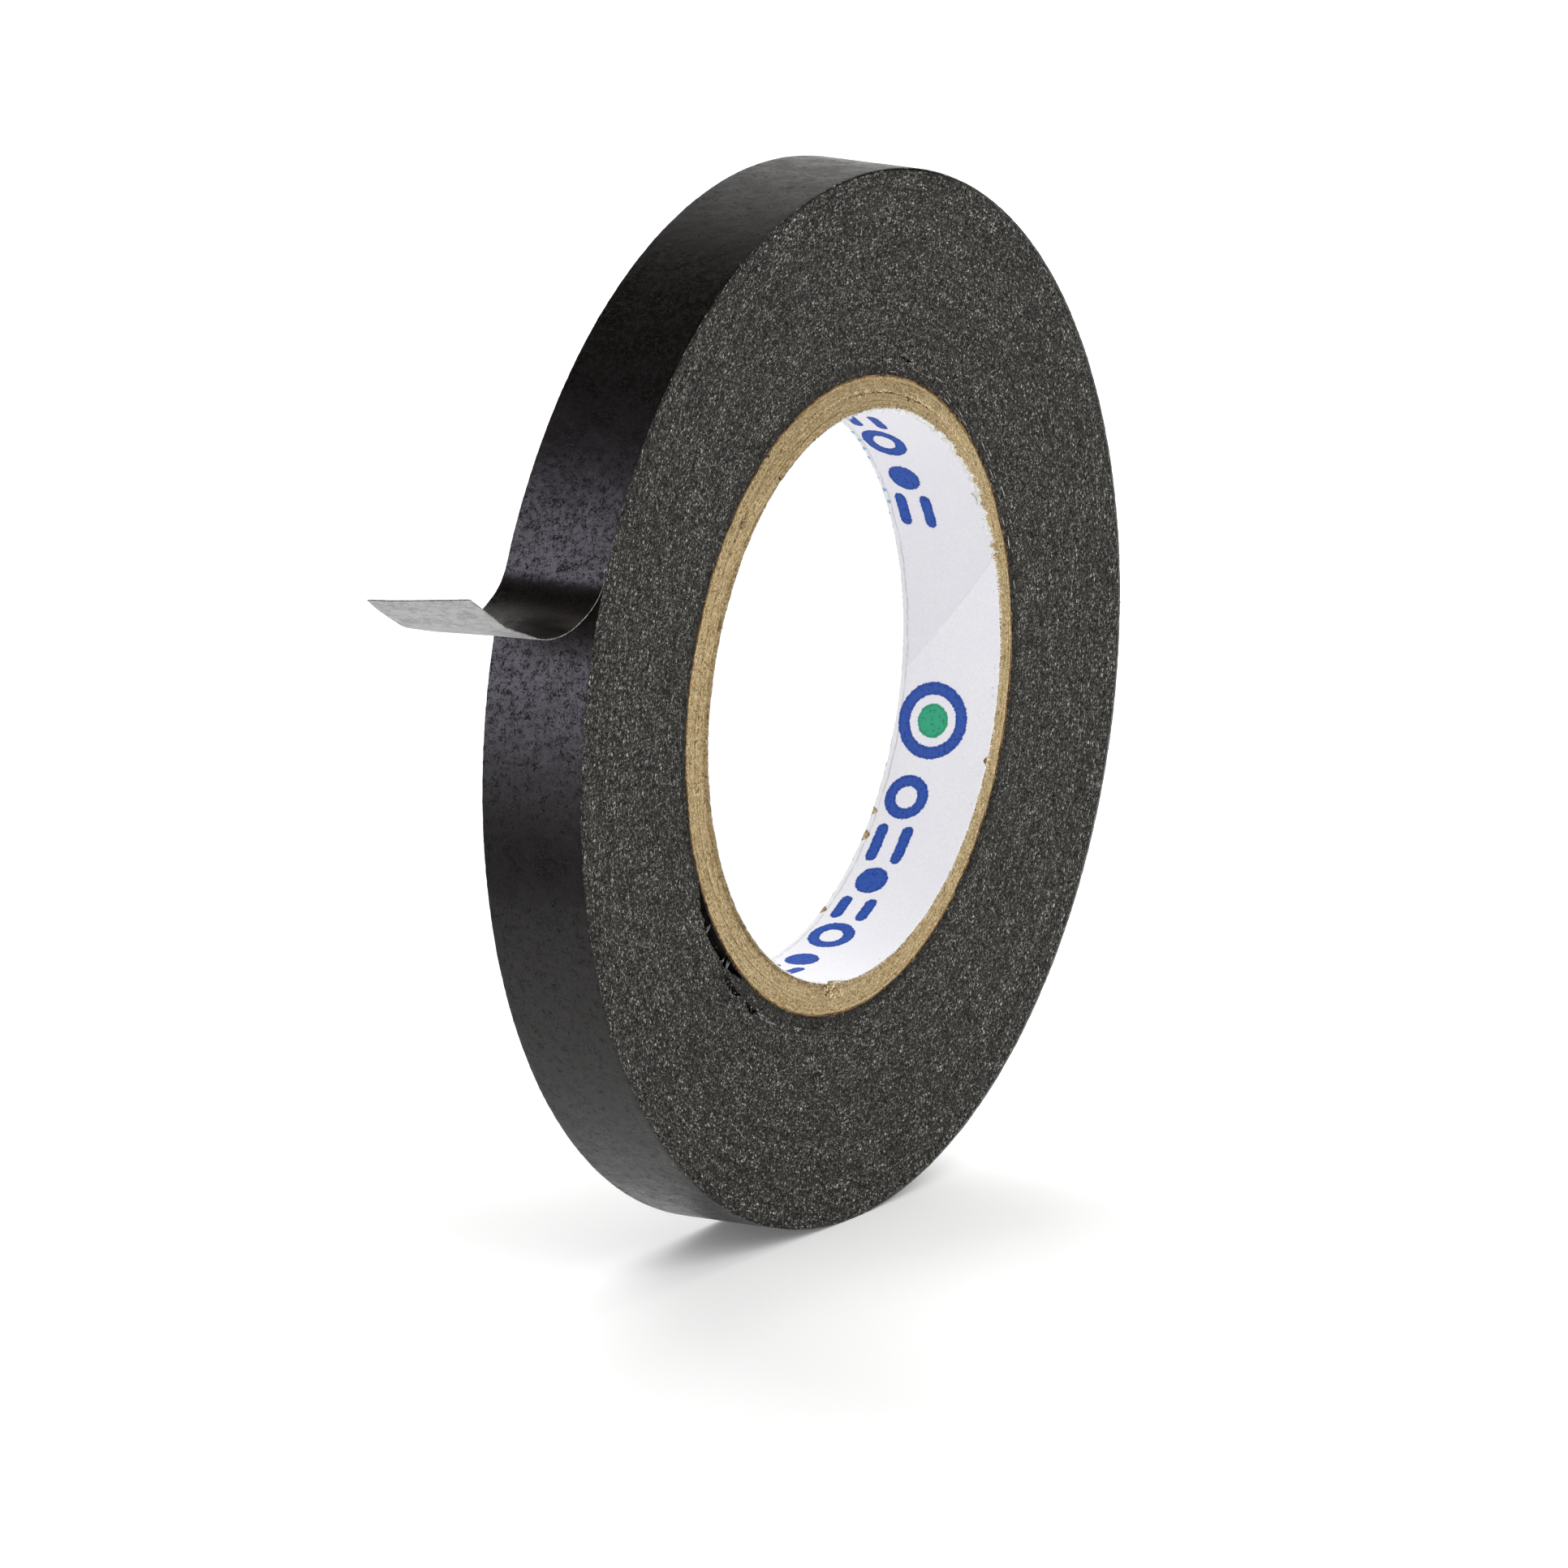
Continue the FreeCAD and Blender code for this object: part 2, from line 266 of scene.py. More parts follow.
def ring_piece(name, radii, centres, face_height, cells, materials, wall_noise=0.0, seed=0):
    """A closed ring between two walls, each a radius that may depend on the angle.

    face_height(angle, share, side) says how far the front or back face stands out.
    """
    rows, across, outer_cells, inner_cells = cells
    wall, width, side = section_loop(across, outer_cells, inner_cells)
    angle = (np.arange(rows) / rows * FULL_TURN)[:, None]
    inside, outside = (r(angle) if callable(r) else r + 0 * angle for r in radii)
    radius = inside * (1 - wall) + outside * wall
    if wall_noise:
        middle = (inside.mean() + outside.mean()) / 2
        rough = round_noise(angle, width * 2 * HALF_WIDTH, middle, 0.5, seed)
        radius = radius + wall_noise * rough * (side % 2 == 1)
    centre = centres[0] * (1 - wall[:, None]) + centres[1] * wall[:, None]
    front = -HALF_WIDTH - face_height(angle, wall, FRONT)
    back = HALF_WIDTH + face_height(angle, wall, BACK)
    y = front * (1 - width) + back * width
    x = centre[:, 0] + radius * np.cos(angle)
    z = centre[:, 1] + radius * np.sin(angle)
    points = np.stack([x, y, z], -1)
    length = np.arange(rows + 1)[:, None] / rows * FULL_TURN * radius.mean()
    radius, y = (np.concatenate([values, values[:1]]) for values in (radius, y))
    unrolled = np.stack([length + 0 * radius, radius, y], -1)
    return grid_piece(name, points, unrolled, side, materials, True)


def band_piece(name, inner, outer, seam_angle, seam_gap, front_edge, cells, materials, height,
               values=None):
    """A spirally wound ply: a band whose two slanted ends meet at a seam."""
    rows, across, outer_cells, inner_cells = cells
    wall, width, side = section_loop(across, outer_cells, inner_cells)
    share = (np.arange(rows) / (rows - 1))[:, None]
    creep = front_edge - HALF_WIDTH
    radius = inner + (outer - inner) * wall
    middle = (inner + outer) / 2
    y_plain = -front_edge + width * 2 * HALF_WIDTH
    slant = -(y_plain + creep) * math.tan(math.radians(SEAM_SLANT)) / middle
    gap = seam_gap / math.cos(math.radians(SEAM_SLANT)) / middle
    angle = math.radians(seam_angle) + slant + gap / 2 + share * (FULL_TURN - gap)
    front_rise = height(angle, wall, FRONT)
    back_rise = height(angle, wall, BACK)
    y = y_plain - front_rise * (1 - width) + back_rise * width
    rough = round_noise(angle, y_plain, middle, 0.6, int(inner * 100))
    radius = radius + 0.012 * rough
    length = angle * middle
    unrolled = np.stack([length, radius + 0 * length, y], -1)
    fields = values(angle * inner, y) if values else None
    return grid_piece(name, around(radius, angle, y), unrolled, side, materials, False, fields)


# ---- Shader nodes ----

class Nodes:
    """A node tree, with one short method for each kind of node that it needs."""

    def __init__(self, tree):
        self.tree = tree

    def add(self, kind, inputs, **settings):
        node = self.tree.nodes.new("ShaderNode" + kind)
        for key, value in settings.items():
            setattr(node, key, value)
        for key, value in inputs.items():
            self.feed(node.inputs[key], value)
        return node

    def feed(self, socket, value):
        if isinstance(value, bpy.types.NodeSocket):
            self.tree.links.new(value, socket)
        else:
            socket.default_value = value

    def attribute(self, name, output="Vector"):
        return self.add("Attribute", {}, attribute_name=name).outputs[output]

    def coordinates(self, kind):
        return self.add("TexCoord", {}).outputs[kind]

    def part(self, vector, axis):
        return self.add("SeparateXYZ", {0: vector}).outputs[axis]

    def vector_math(self, operation, first, second):
        return self.add("VectorMath", {0: first, 1: second}, operation=operation)

    def scaled(self, vector, scale):
        return self.vector_math("MULTIPLY", vector, scale).outputs[0]

    def noise(self, vector, scale, detail=2.0, roughness=0.5, distortion=0.0, output="Fac"):
        inputs = {"Vector": vector, "Scale": scale, "Detail": detail, "Roughness": roughness,
                  "Distortion": distortion}
        return self.add("TexNoise", inputs).outputs[output]

    def drawn_noise(self, vector, stretch, *shape):
        """Noise with cells of one unit, drawn out where stretch is small."""
        return self.noise(self.scaled(vector, stretch), 1.0, *shape)

    def warped(self, vector, scale, amount):
        """The vector pushed about by noise, so that a pattern laid on it loses its regularity."""
        push = self.noise(vector, scale, output="Color")
        push = self.vector_math("SUBTRACT", push, (0.5, 0.5, 0.5)).outputs[0]
        return self.vector_math("ADD", vector, self.scaled(push, (amount,) * 3)).outputs[0]

    def network(self, vector, scale, width):
        """1 along the walls of an irregular net of cells and 0 inside them."""
        net = self.add("TexVoronoi", {"Vector": vector, "Scale": scale}, feature="DISTANCE_TO_EDGE")
        return self.band(net.outputs["Distance"], width * 0.3, width, 1.0, 0.0)

    def dots(self, vector, scale, reach, chance):
        """Round specks, each as strong as its own draw between the two ends of chance."""
        node = self.add("TexVoronoi", {"Vector": vector, "Scale": scale}, feature="F1")
        draw = self.add("SeparateColor", {0: node.outputs["Color"]}).outputs[0]
        spot = self.band(node.outputs["Distance"], reach * 0.45, reach, 1.0, 0.0)
        return self.product(spot, self.band(draw, *chance))

    def math(self, operation, first, *others):
        """The operation on two values, or on more of them one after another."""
        for other in others:
            first = self.add("Math", {0: first, 1: other}, operation=operation).outputs[0]
        return first

    def product(self, *factors):
        return self.math("MULTIPLY", *factors)

    def total(self, *terms):
        return self.math("ADD", *terms)

    def most(self, *values):
        return self.math("MAXIMUM", *values)

    def weighed(self, *terms):
        """The sum of fields, each times a weight of its own."""
        return self.total(*(self.product(field, weight) for field, weight in terms))

    def less(self, first, second):
        return self.math("SUBTRACT", first, second)

    def band(self, value, low, high, start=0.0, end=1.0):
        """Goes smoothly from start to end as value goes from low to high."""
        inputs = {"Value": value, "From Min": low, "From Max": high, "To Min": start, "To Max": end}
        return self.add("MapRange", inputs, interpolation_type="SMOOTHSTEP").outputs[0]

    def thinned(self, mask, field, low, high, least=0.0):
        """The mask where a field is high, fading to a share of it where the field is low."""
        return self.product(mask, self.band(field, low, high, least, 1.0))

    def offset(self, value, middle):
        return self.math("ABSOLUTE", self.less(value, middle), 0.0)

    def lines(self, field, width):
        """1 along the middle contour of a noise field and 0 away from it."""
        return self.band(self.offset(field, 0.5), width * 0.3, width, 1.0, 0.0)

    def mix(self, share, first, second):
        node = self.add("Mix", {}, data_type="RGBA")
        inputs = {("Factor", "VALUE"): share, ("A", "RGBA"): first, ("B", "RGBA"): second}
        for key, value in inputs.items():
            self.feed(next(s for s in node.inputs if (s.name, s.type) == key), value)
        return next(s for s in node.outputs if s.type == "RGBA")


class Shader(Nodes):
    """A material made of one Principled shader."""

    def __init__(self, name):
        self.material = bpy.data.materials.new(name)
        self.material.use_nodes = True
        super().__init__(self.material.node_tree)

    def finish(self, colour, roughness, shine=0.5, height=None, rise=0.0, **others):
        """Sets the surface and returns the material. A height of 1 bumps up by rise millimetres."""
        inputs = {"Base Color": colour, "Roughness": roughness, "Specular IOR Level": shine}
        inputs.update(others)
        if height is not None:
            bump = self.add("Bump", {"Height": height, "Distance": rise * MM})
            inputs["Normal"] = bump.outputs["Normal"]
        for key, value in inputs.items():
            self.feed(self.tree.nodes["Principled BSDF"].inputs[key], value)
        return self.material


def grey(value, red=1.0, green=1.0, blue=1.0):
    return (value * red, value * green, value * blue, 1.0)


def tape_backing_material():
    """Smooth black paper: satin, with fine creases and pits. The free end carries painted sheen in soft brown
    streaks.
    """
    s = Shader("tape_backing")
    run = s.attribute("unrolled")
    bent = s.warped(run, 1.6, 0.8)
    mottle = s.noise(run, 3.2, 4.0, 0.7, 0.5)
    fine = s.noise(run, 7.0, 3.0, 0.65, 0.4)
    net = s.network(s.scaled(bent, (0.85, 1.0, 1.0)), 2.3, 0.13)
    net = s.thinned(net, s.noise(run, 0.6, 3.0, 0.75), 0.52, 0.62)
    long = s.lines(s.noise(s.scaled(bent, (0.40, 1.0, 1.1)), 1.9, 1.0, 0.5, 0.5), 0.04)
    long = s.thinned(long, s.noise(run, 0.8), 0.52, 0.6)
    short = s.lines(s.noise(s.scaled(run, (1.0, 1.0, 0.8)), 4.2, 1.0, 0.5, 0.4), 0.05)
    short = s.thinned(short, s.noise(run, 1.3), 0.5, 0.6)
    dull = s.most(net, long, short, s.dots(bent, 3.4, 0.36, (0.5, 0.8)))
    colour = s.mix(mottle, (0.0022, 0.0014, 0.0010, 1), (0.0056, 0.0038, 0.0030, 1))
    # Painted highlight: soft brown streaks of sheen painted into the free end's colour along its bend.
    painted_sheen_streaks = s.band(s.drawn_noise(run, (0.22, 0.0, 0.10)), 0.32, 0.72)
    painted_sheen_streaks = s.thinned(painted_sheen_streaks, s.part(run, "X"), 3.0, 9.0)
    colour = s.mix(painted_sheen_streaks, colour, grey(0.024, 1.12, 0.98, 0.89))
    lift = s.weighed((mottle, 0.55), (fine, 0.45))
    sheen = s.product(s.band(lift, 0.36, 0.64, 0.62, 1.0), s.less(1.0, s.product(dull, 0.9)))
    patches = s.band(s.noise(run, 0.25, 3.0, 0.6), 0.35, 0.65, -0.04, 0.04)
    roughness = s.total(s.band(lift, 0.36, 0.64, 0.33, 0.27), s.product(dull, 0.15), patches)
    height = s.less(s.weighed((mottle, 0.16), (fine, 0.10)), s.product(dull, 0.3))
    return s.finish(colour, roughness, 0.355, height, 0.05, **{"Specular Tint": sheen})


def tape_edge_material():
    """Slit edges of the wound paper: dark, felted with short pale fibres that curl any way."""
    s = Shader("tape_edge")
    place, run = s.attribute("place"), s.attribute("unrolled")
    bent = s.warped(place, 4.0, 0.30)
    hollows = s.noise(bent, 2.6, 2.0, 0.6, 0.4)
    turns = s.drawn_noise(run, (0.06, 2.0, 0.0), 2.0, 0.6)
    curls = s.lines(s.noise(bent, 2.4, 1.0, 0.5, 0.9), 0.05)
    curls = s.thinned(curls, s.noise(place, 3.3, 1.0), 0.5, 0.57)
    drawn = s.warped(s.scaled(run, (0.60, 1.0, 1.0)), 4.0, 0.30)
    large = s.dots(drawn, 2.7, 0.46, (0.45, 0.98))
    small = s.dots(bent, 4.3, 0.42, (0.50, 0.98))
    pale = s.most(s.product(curls, 0.55), large, s.product(small, 0.8))
    for field, low, high, least in (
        (turns, 0.38, 0.54, 0.42),
        (s.noise(place, 1.1, 3.0, 0.7), 0.38, 0.56, 0.35),
        (s.drawn_noise(run, (0.012, 0.5, 0.0)), 0.4, 0.6, 0.8),
        (s.noise(place, 0.3), 0.38, 0.6, 0.72),
    ):
        pale = s.thinned(pale, field, low, high, least)
    # On the last turn and the free end this is the depth in the tape, which is close to zero.
    radius = s.part(run, "Y")
    near_core = s.band(radius, CORE_RADIUS + 0.6, CORE_RADIUS + 2.4, 0.4, 1.0)
    pale = s.product(pale, s.most(near_core, s.band(radius, 1.0, 5.0, 1.0, 0.0)))
    # The ground is darker where the bump is low: painted shade in the hollows.
    deep, raised = grey(0.003, 1.1, 1.0, 0.9), grey(0.023, 1.07, 1.0, 0.88)
    ground = s.mix(s.band(hollows, 0.42, 0.56), deep, raised)
    tint = s.mix(s.noise(place, 2.4), grey(0.34, 1.06, 1.0, 0.86), grey(0.78, 0.99, 1.0, 0.92))
    tan = s.band(s.noise(place, 1.35, 0.0), 0.865, 0.88)
    colour = s.mix(tan, s.mix(pale, ground, tint), (0.40, 0.25, 0.11, 1.0))
    return s.finish(colour, 0.8, 0.12, s.weighed((pale, 0.5), (hollows, 0.8), (turns, 0.3)), 0.11)


def torn_edge_material():
    """The free end's slit edge, where the paper's own pale fibres show."""
    s = Shader("torn_edge")
    tone = s.noise(s.attribute("place"), 3.0, 3.0, 0.65)
    colour = s.mix(s.band(tone, 0.38, 0.62), grey(0.05, 1, 1, 0.97), grey(0.26, 1, 1, 0.98))
    return s.finish(colour, 0.75, 0.3, tone, 0.05)


def adhesive_material():
    """The sticky side: pale grey, softly mottled."""
    s = Shader("tape_adhesive")
    run = s.attribute("unrolled")
    blotches, fine = s.noise(run, 0.7, 3.0, 0.6, 0.6), s.noise(run, 3.5, 3.0, 0.6, 0.4)
    share = s.weighed((blotches, 0.6), (fine, 0.4))
    colour = s.mix(s.band(share, 0.36, 0.62), grey(0.22), grey(0.385))
    return s.finish(colour, 0.5, 0.5, share, 0.06)


def board_material():
    """Grey-brown core board, cut across: fine streaks along each ply, pits and bright fibres."""
    s = Shader("core_board")
    place, run = s.attribute("place"), s.attribute("unrolled")
    streaks = s.drawn_noise(run, (0.5, 8.0, 0.5), 4.0, 0.7, 0.4)
    layers = s.drawn_noise(run, (0.06, 3.0, 0.3))
    golden = s.band(s.drawn_noise(run, (0.3, 4.0, 0.5)), 0.52, 0.66)
    pits = s.band(s.noise(s.scaled(run, (1.3, 3.0, 1.0)), 1.5, 2.0, 0.6, 0.6), 0.59, 0.66)
    hairs = s.lines(s.noise(s.scaled(run, (0.8, 2.2, 1.0)), 1.6, 1.0, 0.5, 0.9), 0.03)
    hairs = s.thinned(hairs, s.noise(place, 1.6, 1.0), 0.52, 0.6)
    share = s.weighed((streaks, 0.3), (s.noise(place, 3.6, 4.0, 0.72, 0.8), 0.7))
    # The board is darker towards the top of the core.
    high = s.total(s.part(place, "Z"), s.product(s.noise(place, 0.3), 14.0))
    colour = s.mix(s.band(share, 0.41, 0.59), (0.19, 0.13, 0.055, 1), (0.62, 0.485, 0.27, 1))
    for amount, paint in (
        (s.product(golden, 0.4), (0.44, 0.285, 0.105, 1)),
        (s.band(layers, 0.45, 0.62, 0.0, 0.3), (0.58, 0.47, 0.28, 1)),
        (s.product(pits, 0.6), (0.08, 0.05, 0.024, 1)),
        (s.product(hairs, 0.7), (0.85, 0.74, 0.54, 1)),
        (s.band(high, 32.0, 48.0, 0.0, 0.3), (0.16, 0.115, 0.055, 1)),
    ):
        colour = s.mix(amount, colour, paint)
    return s.finish(colour, 0.88, 0.2, s.less(share, s.product(pits, 0.6)), 0.14)


def kraft_material():
    """The thin brown ply next to the tape, with dark cracks."""
    s = Shader("kraft_ply")
    run = s.attribute("unrolled")
    streaks = s.drawn_noise(run, (0.5, 7.0, 0.6), 3.0, 0.6, 0.3)
    cracks = s.band(s.drawn_noise(run, (0.5, 2.0, 1.0), 3.0, 0.65), 0.50, 0.60)
    colour = s.mix(s.band(streaks, 0.3, 0.7), (0.12, 0.06, 0.02, 1), (0.34, 0.20, 0.075, 1))
    colour = s.mix(s.product(cracks, 0.85), colour, (0.025, 0.014, 0.007, 1))
    return s.finish(colour, 0.85, 0.2, s.less(streaks, cracks), 0.08)


CREASE_PLACE = 5.9        # from the roll's middle plane to the crease near the liner's back edge


def liner_material():
    """White lining paper with plain printed marks in blue and green ink."""
    s = Shader("liner_paper")
    place, run = s.attribute("place"), s.attribute("unrolled")
    fibre = s.noise(place, 3.0, 4.0, 0.65, 0.5)
    cloud = s.drawn_noise(run, (0.12, 0.12, 0.12))
    paper = s.mix(s.band(fibre, 0.3, 0.7), (0.745, 0.745, 0.775, 1), (0.815, 0.815, 0.845, 1))
    paper = s.mix(s.band(cloud, 0.35, 0.7, 0.0, 0.35), paper, (0.75, 0.745, 0.795, 1))
    # Painted shade along the crease near the back edge: the fold is darkened in colour as well as in the bump.
    waver = s.product(s.less(s.noise(place, 0.35), 0.5), 0.7)
    crease = s.band(s.offset(s.total(s.part(run, "Z"), waver), CREASE_PLACE), 0.03, 0.22, 1.0, 0.0)
    crease = s.thinned(crease, s.noise(place, 0.9), 0.36, 0.5, 0.35)
    paper = s.mix(s.product(crease, 0.4), paper, (0.36, 0.37, 0.37, 1))
    # Painted shade: the paper is greyer just past the liner's seam, fading round the bore.
    paper = s.mix(s.product(s.attribute("lap_shade", "Fac"), 0.10), paper, (0.30, 0.29, 0.33, 1))
    bleed = s.product(s.less(s.noise(place, 3.2, 2.0, 0.6), 0.5), 0.5)
    tone = s.noise(place, 2.2, 2.0, 0.6)
    for field, light, dark in (
        ("print_blue", (0.030, 0.085, 0.36, 1), (0.012, 0.045, 0.26, 1)),
        ("print_green", (0.035, 0.35, 0.20, 1), (0.010, 0.24, 0.10, 1)),
        ("print_pale", (0.30, 0.50, 0.66, 1), (0.16, 0.34, 0.58, 1)),
    ):
        distance = s.total(s.attribute(field, "Fac"), bleed)
        rim = s.product(s.band(distance, -0.5, -0.1), 0.7)
        ink = s.mix(s.most(rim, s.band(tone, 0.5, 0.7)), light, dark)
        paper = s.mix(s.band(distance, -0.07, 0.09, 1.0, 0.0), paper, ink)
    return s.finish(paper, 0.7, 0.15, s.less(s.product(fibre, 0.3), crease), 0.05)


def strand_material():
    """Strands of adhesive drawn out across a gap."""
    s = Shader("adhesive_strand")
    tone = s.noise(s.attribute("place"), 3.0)
    colour = s.mix(s.band(tone, 0.35, 0.65), grey(0.30, 0.97, 1, 1.03), grey(0.72, 0.97, 1, 1.03))
    return s.finish(colour, 0.3, 0.6)


def fibre_material():
    """Loose paper fibres: mostly pale grey, a few of them tan. Each fibre has a tone of its own."""
    s = Shader("loose_fibre")
    tone = s.attribute("tone", "Fac")
    along = s.noise(s.attribute("place"), 4.0, 1.0)
    pale = s.mix(s.band(tone, 0.0, 0.9), grey(0.12, 0.97, 1.0, 0.98), grey(0.40, 0.94))
    pale = s.mix(s.band(along, 0.3, 0.8, 0.0, 0.5), pale, grey(0.10))
    return s.finish(s.mix(s.band(tone, 0.985, 0.99), pale, (0.42, 0.26, 0.11, 1)), 0.6, 0.4)


def fray_material():
    """White paper fibres torn out of the liner's edge."""
    s = Shader("paper_fray")
    share = s.weighed((s.attribute("tone", "Fac"), 0.5), (s.noise(s.attribute("place"), 3.0), 0.5))
    colour = s.mix(s.band(share, 0.3, 0.6), (0.76, 0.76, 0.74, 1), (0.96, 0.96, 0.95, 1))
    return s.finish(colour, 0.8, 0.2)


def board_fibre_material():
    """Fibres of the core board, from dark brown to cream. Each fibre has a tone of its own."""
    s = Shader("board_fibre")
    along = s.product(s.noise(s.attribute("place"), 3.0), 0.3)
    share = s.total(s.attribute("tone", "Fac"), along)
    colour = s.mix(s.band(share, 0.25, 0.75), (0.13, 0.075, 0.03, 1), (0.52, 0.38, 0.18, 1))
    colour = s.mix(s.band(share, 0.75, 1.2), colour, (0.88, 0.74, 0.48, 1))
    return s.finish(colour, 0.8, 0.2)


def floor_material():
    s = Shader("pale_floor")
    colour = s.mix(s.noise(s.coordinates("Object"), 9.0, 3.0), grey(0.90), grey(0.92))
    glow = {"Emission Color": grey(1.0), "Emission Strength": 0.12}
    return s.finish(colour, 0.7, 0.2, **glow)


BACKING = tape_backing_material()
EDGE = tape_edge_material()
TORN = torn_edge_material()
ADHESIVE = adhesive_material()
BOARD = board_material()
KRAFT = kraft_material()
LINER = liner_material()
STRAND = strand_material()
FIBRE = fibre_material()
FRAY = fray_material()
BOARD_FIBRE = board_fibre_material()


# ---- The wound tape ----

MIDDLE_RADIUS = 58.0      # of the wound tape, roughly
BORE_CENTRE = np.zeros(2)


def edge_height(angle, radius, side):
    """How far the slit edges of the wound turns stand out of the flat face, in millimetres."""
    seed = 40 + side
    groups = round_noise(angle, radius, MIDDLE_RADIUS, 1.6, seed, 18.0)
    turns = round_noise(angle, radius, MIDDLE_RADIUS, 0.42, seed + 10, 60.0)
    felt = round_noise(angle, radius, MIDDLE_RADIUS, 0.5, seed + 20)
    return 0.040 * groups + 0.034 * turns + 0.035 * felt


def gap_depth(angle, gaps):
    """Depth of the crescent gaps at an angle."""
    depth = 0 * angle
    for middle, half, deepest in gaps:
        share = angle_from(angle, middle) / half
        ragged = 1 + 0.12 * round_noise(angle, 0 * angle, CORE_RADIUS, 0.7, int(middle))
        depth = depth + deepest * ragged * np.clip(1 - share * share, 0, None)
    return depth


def make_first_wrap():
    """The very first wrap, which stays on the core where the next turns have left it."""
    def height(angle, wall, side):
        sunk = 0.10 + 0.05 * round_noise(angle, 0 * wall, CORE_RADIUS, 1.2, 31 + side)
        return -sunk - 0.03 * round_noise(angle, 0 * wall, CORE_RADIUS, 0.4, 33 + side)

    radii = (CORE_RADIUS + 0.02, CORE_RADIUS + TAPE_THICKNESS)
    piece = ring_piece("first_wrap", radii, (BORE_CENTRE, BORE_CENTRE), height, (900, 1, 10, 1),
                       (EDGE, BACKING, EDGE, ADHESIVE), 0.015, 4)
    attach(piece, "roll")
    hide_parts("inner_turns")


def make_inner_turns():
    """The first dozen turns, which hold to the core except at the crescent gap."""
    def inner(angle):
        return CORE_RADIUS + TAPE_THICKNESS + gap_depth(angle, [CORE_GAP])

    def height(angle, wall, side):
        radius = CORE_RADIUS + (FIRST_TURNS_RADIUS - CORE_RADIUS) * wall
        edge_drop = 0.05 * smooth(wall, 0.25, 0.0)
        return edge_height(angle, radius, side) - edge_drop

    centres = (BORE_CENTRE, BORE_CENTRE)
    piece = ring_piece("first_turns", (inner, FIRST_TURNS_RADIUS), centres, height,
                       (900, 6, 4, 6), (EDGE, EDGE, EDGE, BACKING), 0.03, 3)
    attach(piece, "roll")
    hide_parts("inner_turns")


def make_pack():
    """All the turns between the first dozen and the last one."""
    def inner(angle):
        return FIRST_TURNS_RADIUS + gap_depth(angle, PACK_GAPS)

    def height(angle, wall, side):
        radius = FIRST_TURNS_RADIUS + (PACK_LOOK_RADIUS - FIRST_TURNS_RADIUS) * wall
        return edge_height(angle, radius, side) - 0.04 * smooth(wall, 0.99, 1.0)

    piece = ring_piece("wound_turns", (inner, PACK_LOOK_RADIUS), (BORE_CENTRE, TAPE_CENTRE), height,
                       (820, 56, 2, 4), (EDGE, BACKING, EDGE, BACKING))
    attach(piece, "roll")
    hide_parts("tape_pack")


def unit(degrees):
    return np.stack([np.cos(np.radians(degrees)), np.sin(np.radians(degrees))], -1)


def last_turn_path(rows):
    """Points, outward directions and lengths along the last turn's outside, up to the lift line."""
    angle = np.linspace(LIFT_ANGLE - 1.0, LIFT_ANGLE + 360, rows)
    radius = ROLL_RADIUS - (TAPE_THICKNESS + 0.004) * (LIFT_ANGLE + 360 - angle) / 360
    outward = unit(angle)
    length = np.radians(angle - LIFT_ANGLE - 360) * ROLL_RADIUS
    return TAPE_CENTRE + radius[:, None] * outward, outward, length


def free_end_path(step):
    """The same along the free end, from the lift line to the cut end."""
    place = TAPE_CENTRE + ROLL_RADIUS * unit(LIFT_ANGLE)
    heading = LIFT_ANGLE + 90
    places, headings, lengths = [place], [heading], [0.0]
    for radius, turn in FREE_END_BENDS:
        stretch = turn if radius is None else radius * math.radians(abs(turn))
        count = max(2, round(stretch / step))
        for _ in range(count):
            bend = 0.0 if radius is None else turn / count
            place = place + unit(heading + bend / 2) * stretch / count
            heading += bend
            places.append(place)
            headings.append(heading)
            lengths.append(lengths[-1] + stretch / count)
    headings = np.array(headings)
    return np.array(places), unit(headings - 90), np.array(lengths)


def crinkle(length, y):
    """Height of the finish's fine crinkle on the backing, in millimetres."""
    wide = noise(length / 2.6, y / 1.9, 61)
    middle = noise(length / 1.1, y / 0.9, 62)
    fine = noise(length / 0.55, y / 0.5, 63)
    return 0.013 * wide + 0.010 * middle + 0.007 * fine


def slit_edge(length, side):
    """Raggedness of the slit edge, in millimetres outwards."""
    coarse = noise(length / 0.7, 0 * length + side * 7, 71)
    return 0.025 * coarse + 0.02 * noise(length / 0.33, 0 * length, 72 + side)


def free_end_lift(length, y):
    """How far the free end's surface leaves its plain bend: a twist, and a corner that curls up."""
    twist = 0.95 * smooth(length, 6.0, 36.0) * -y / HALF_WIDTH
    corner = 0.12 * smooth(length, 33.5, 38.6) ** 2 * smooth(y, 2.5, HALF_WIDTH) ** 2
    wave = 0.10 * noise(length / 9.0, y / 8.0, 81) * smooth(length, 3.0, 12.0)
    return twist + corner + wave


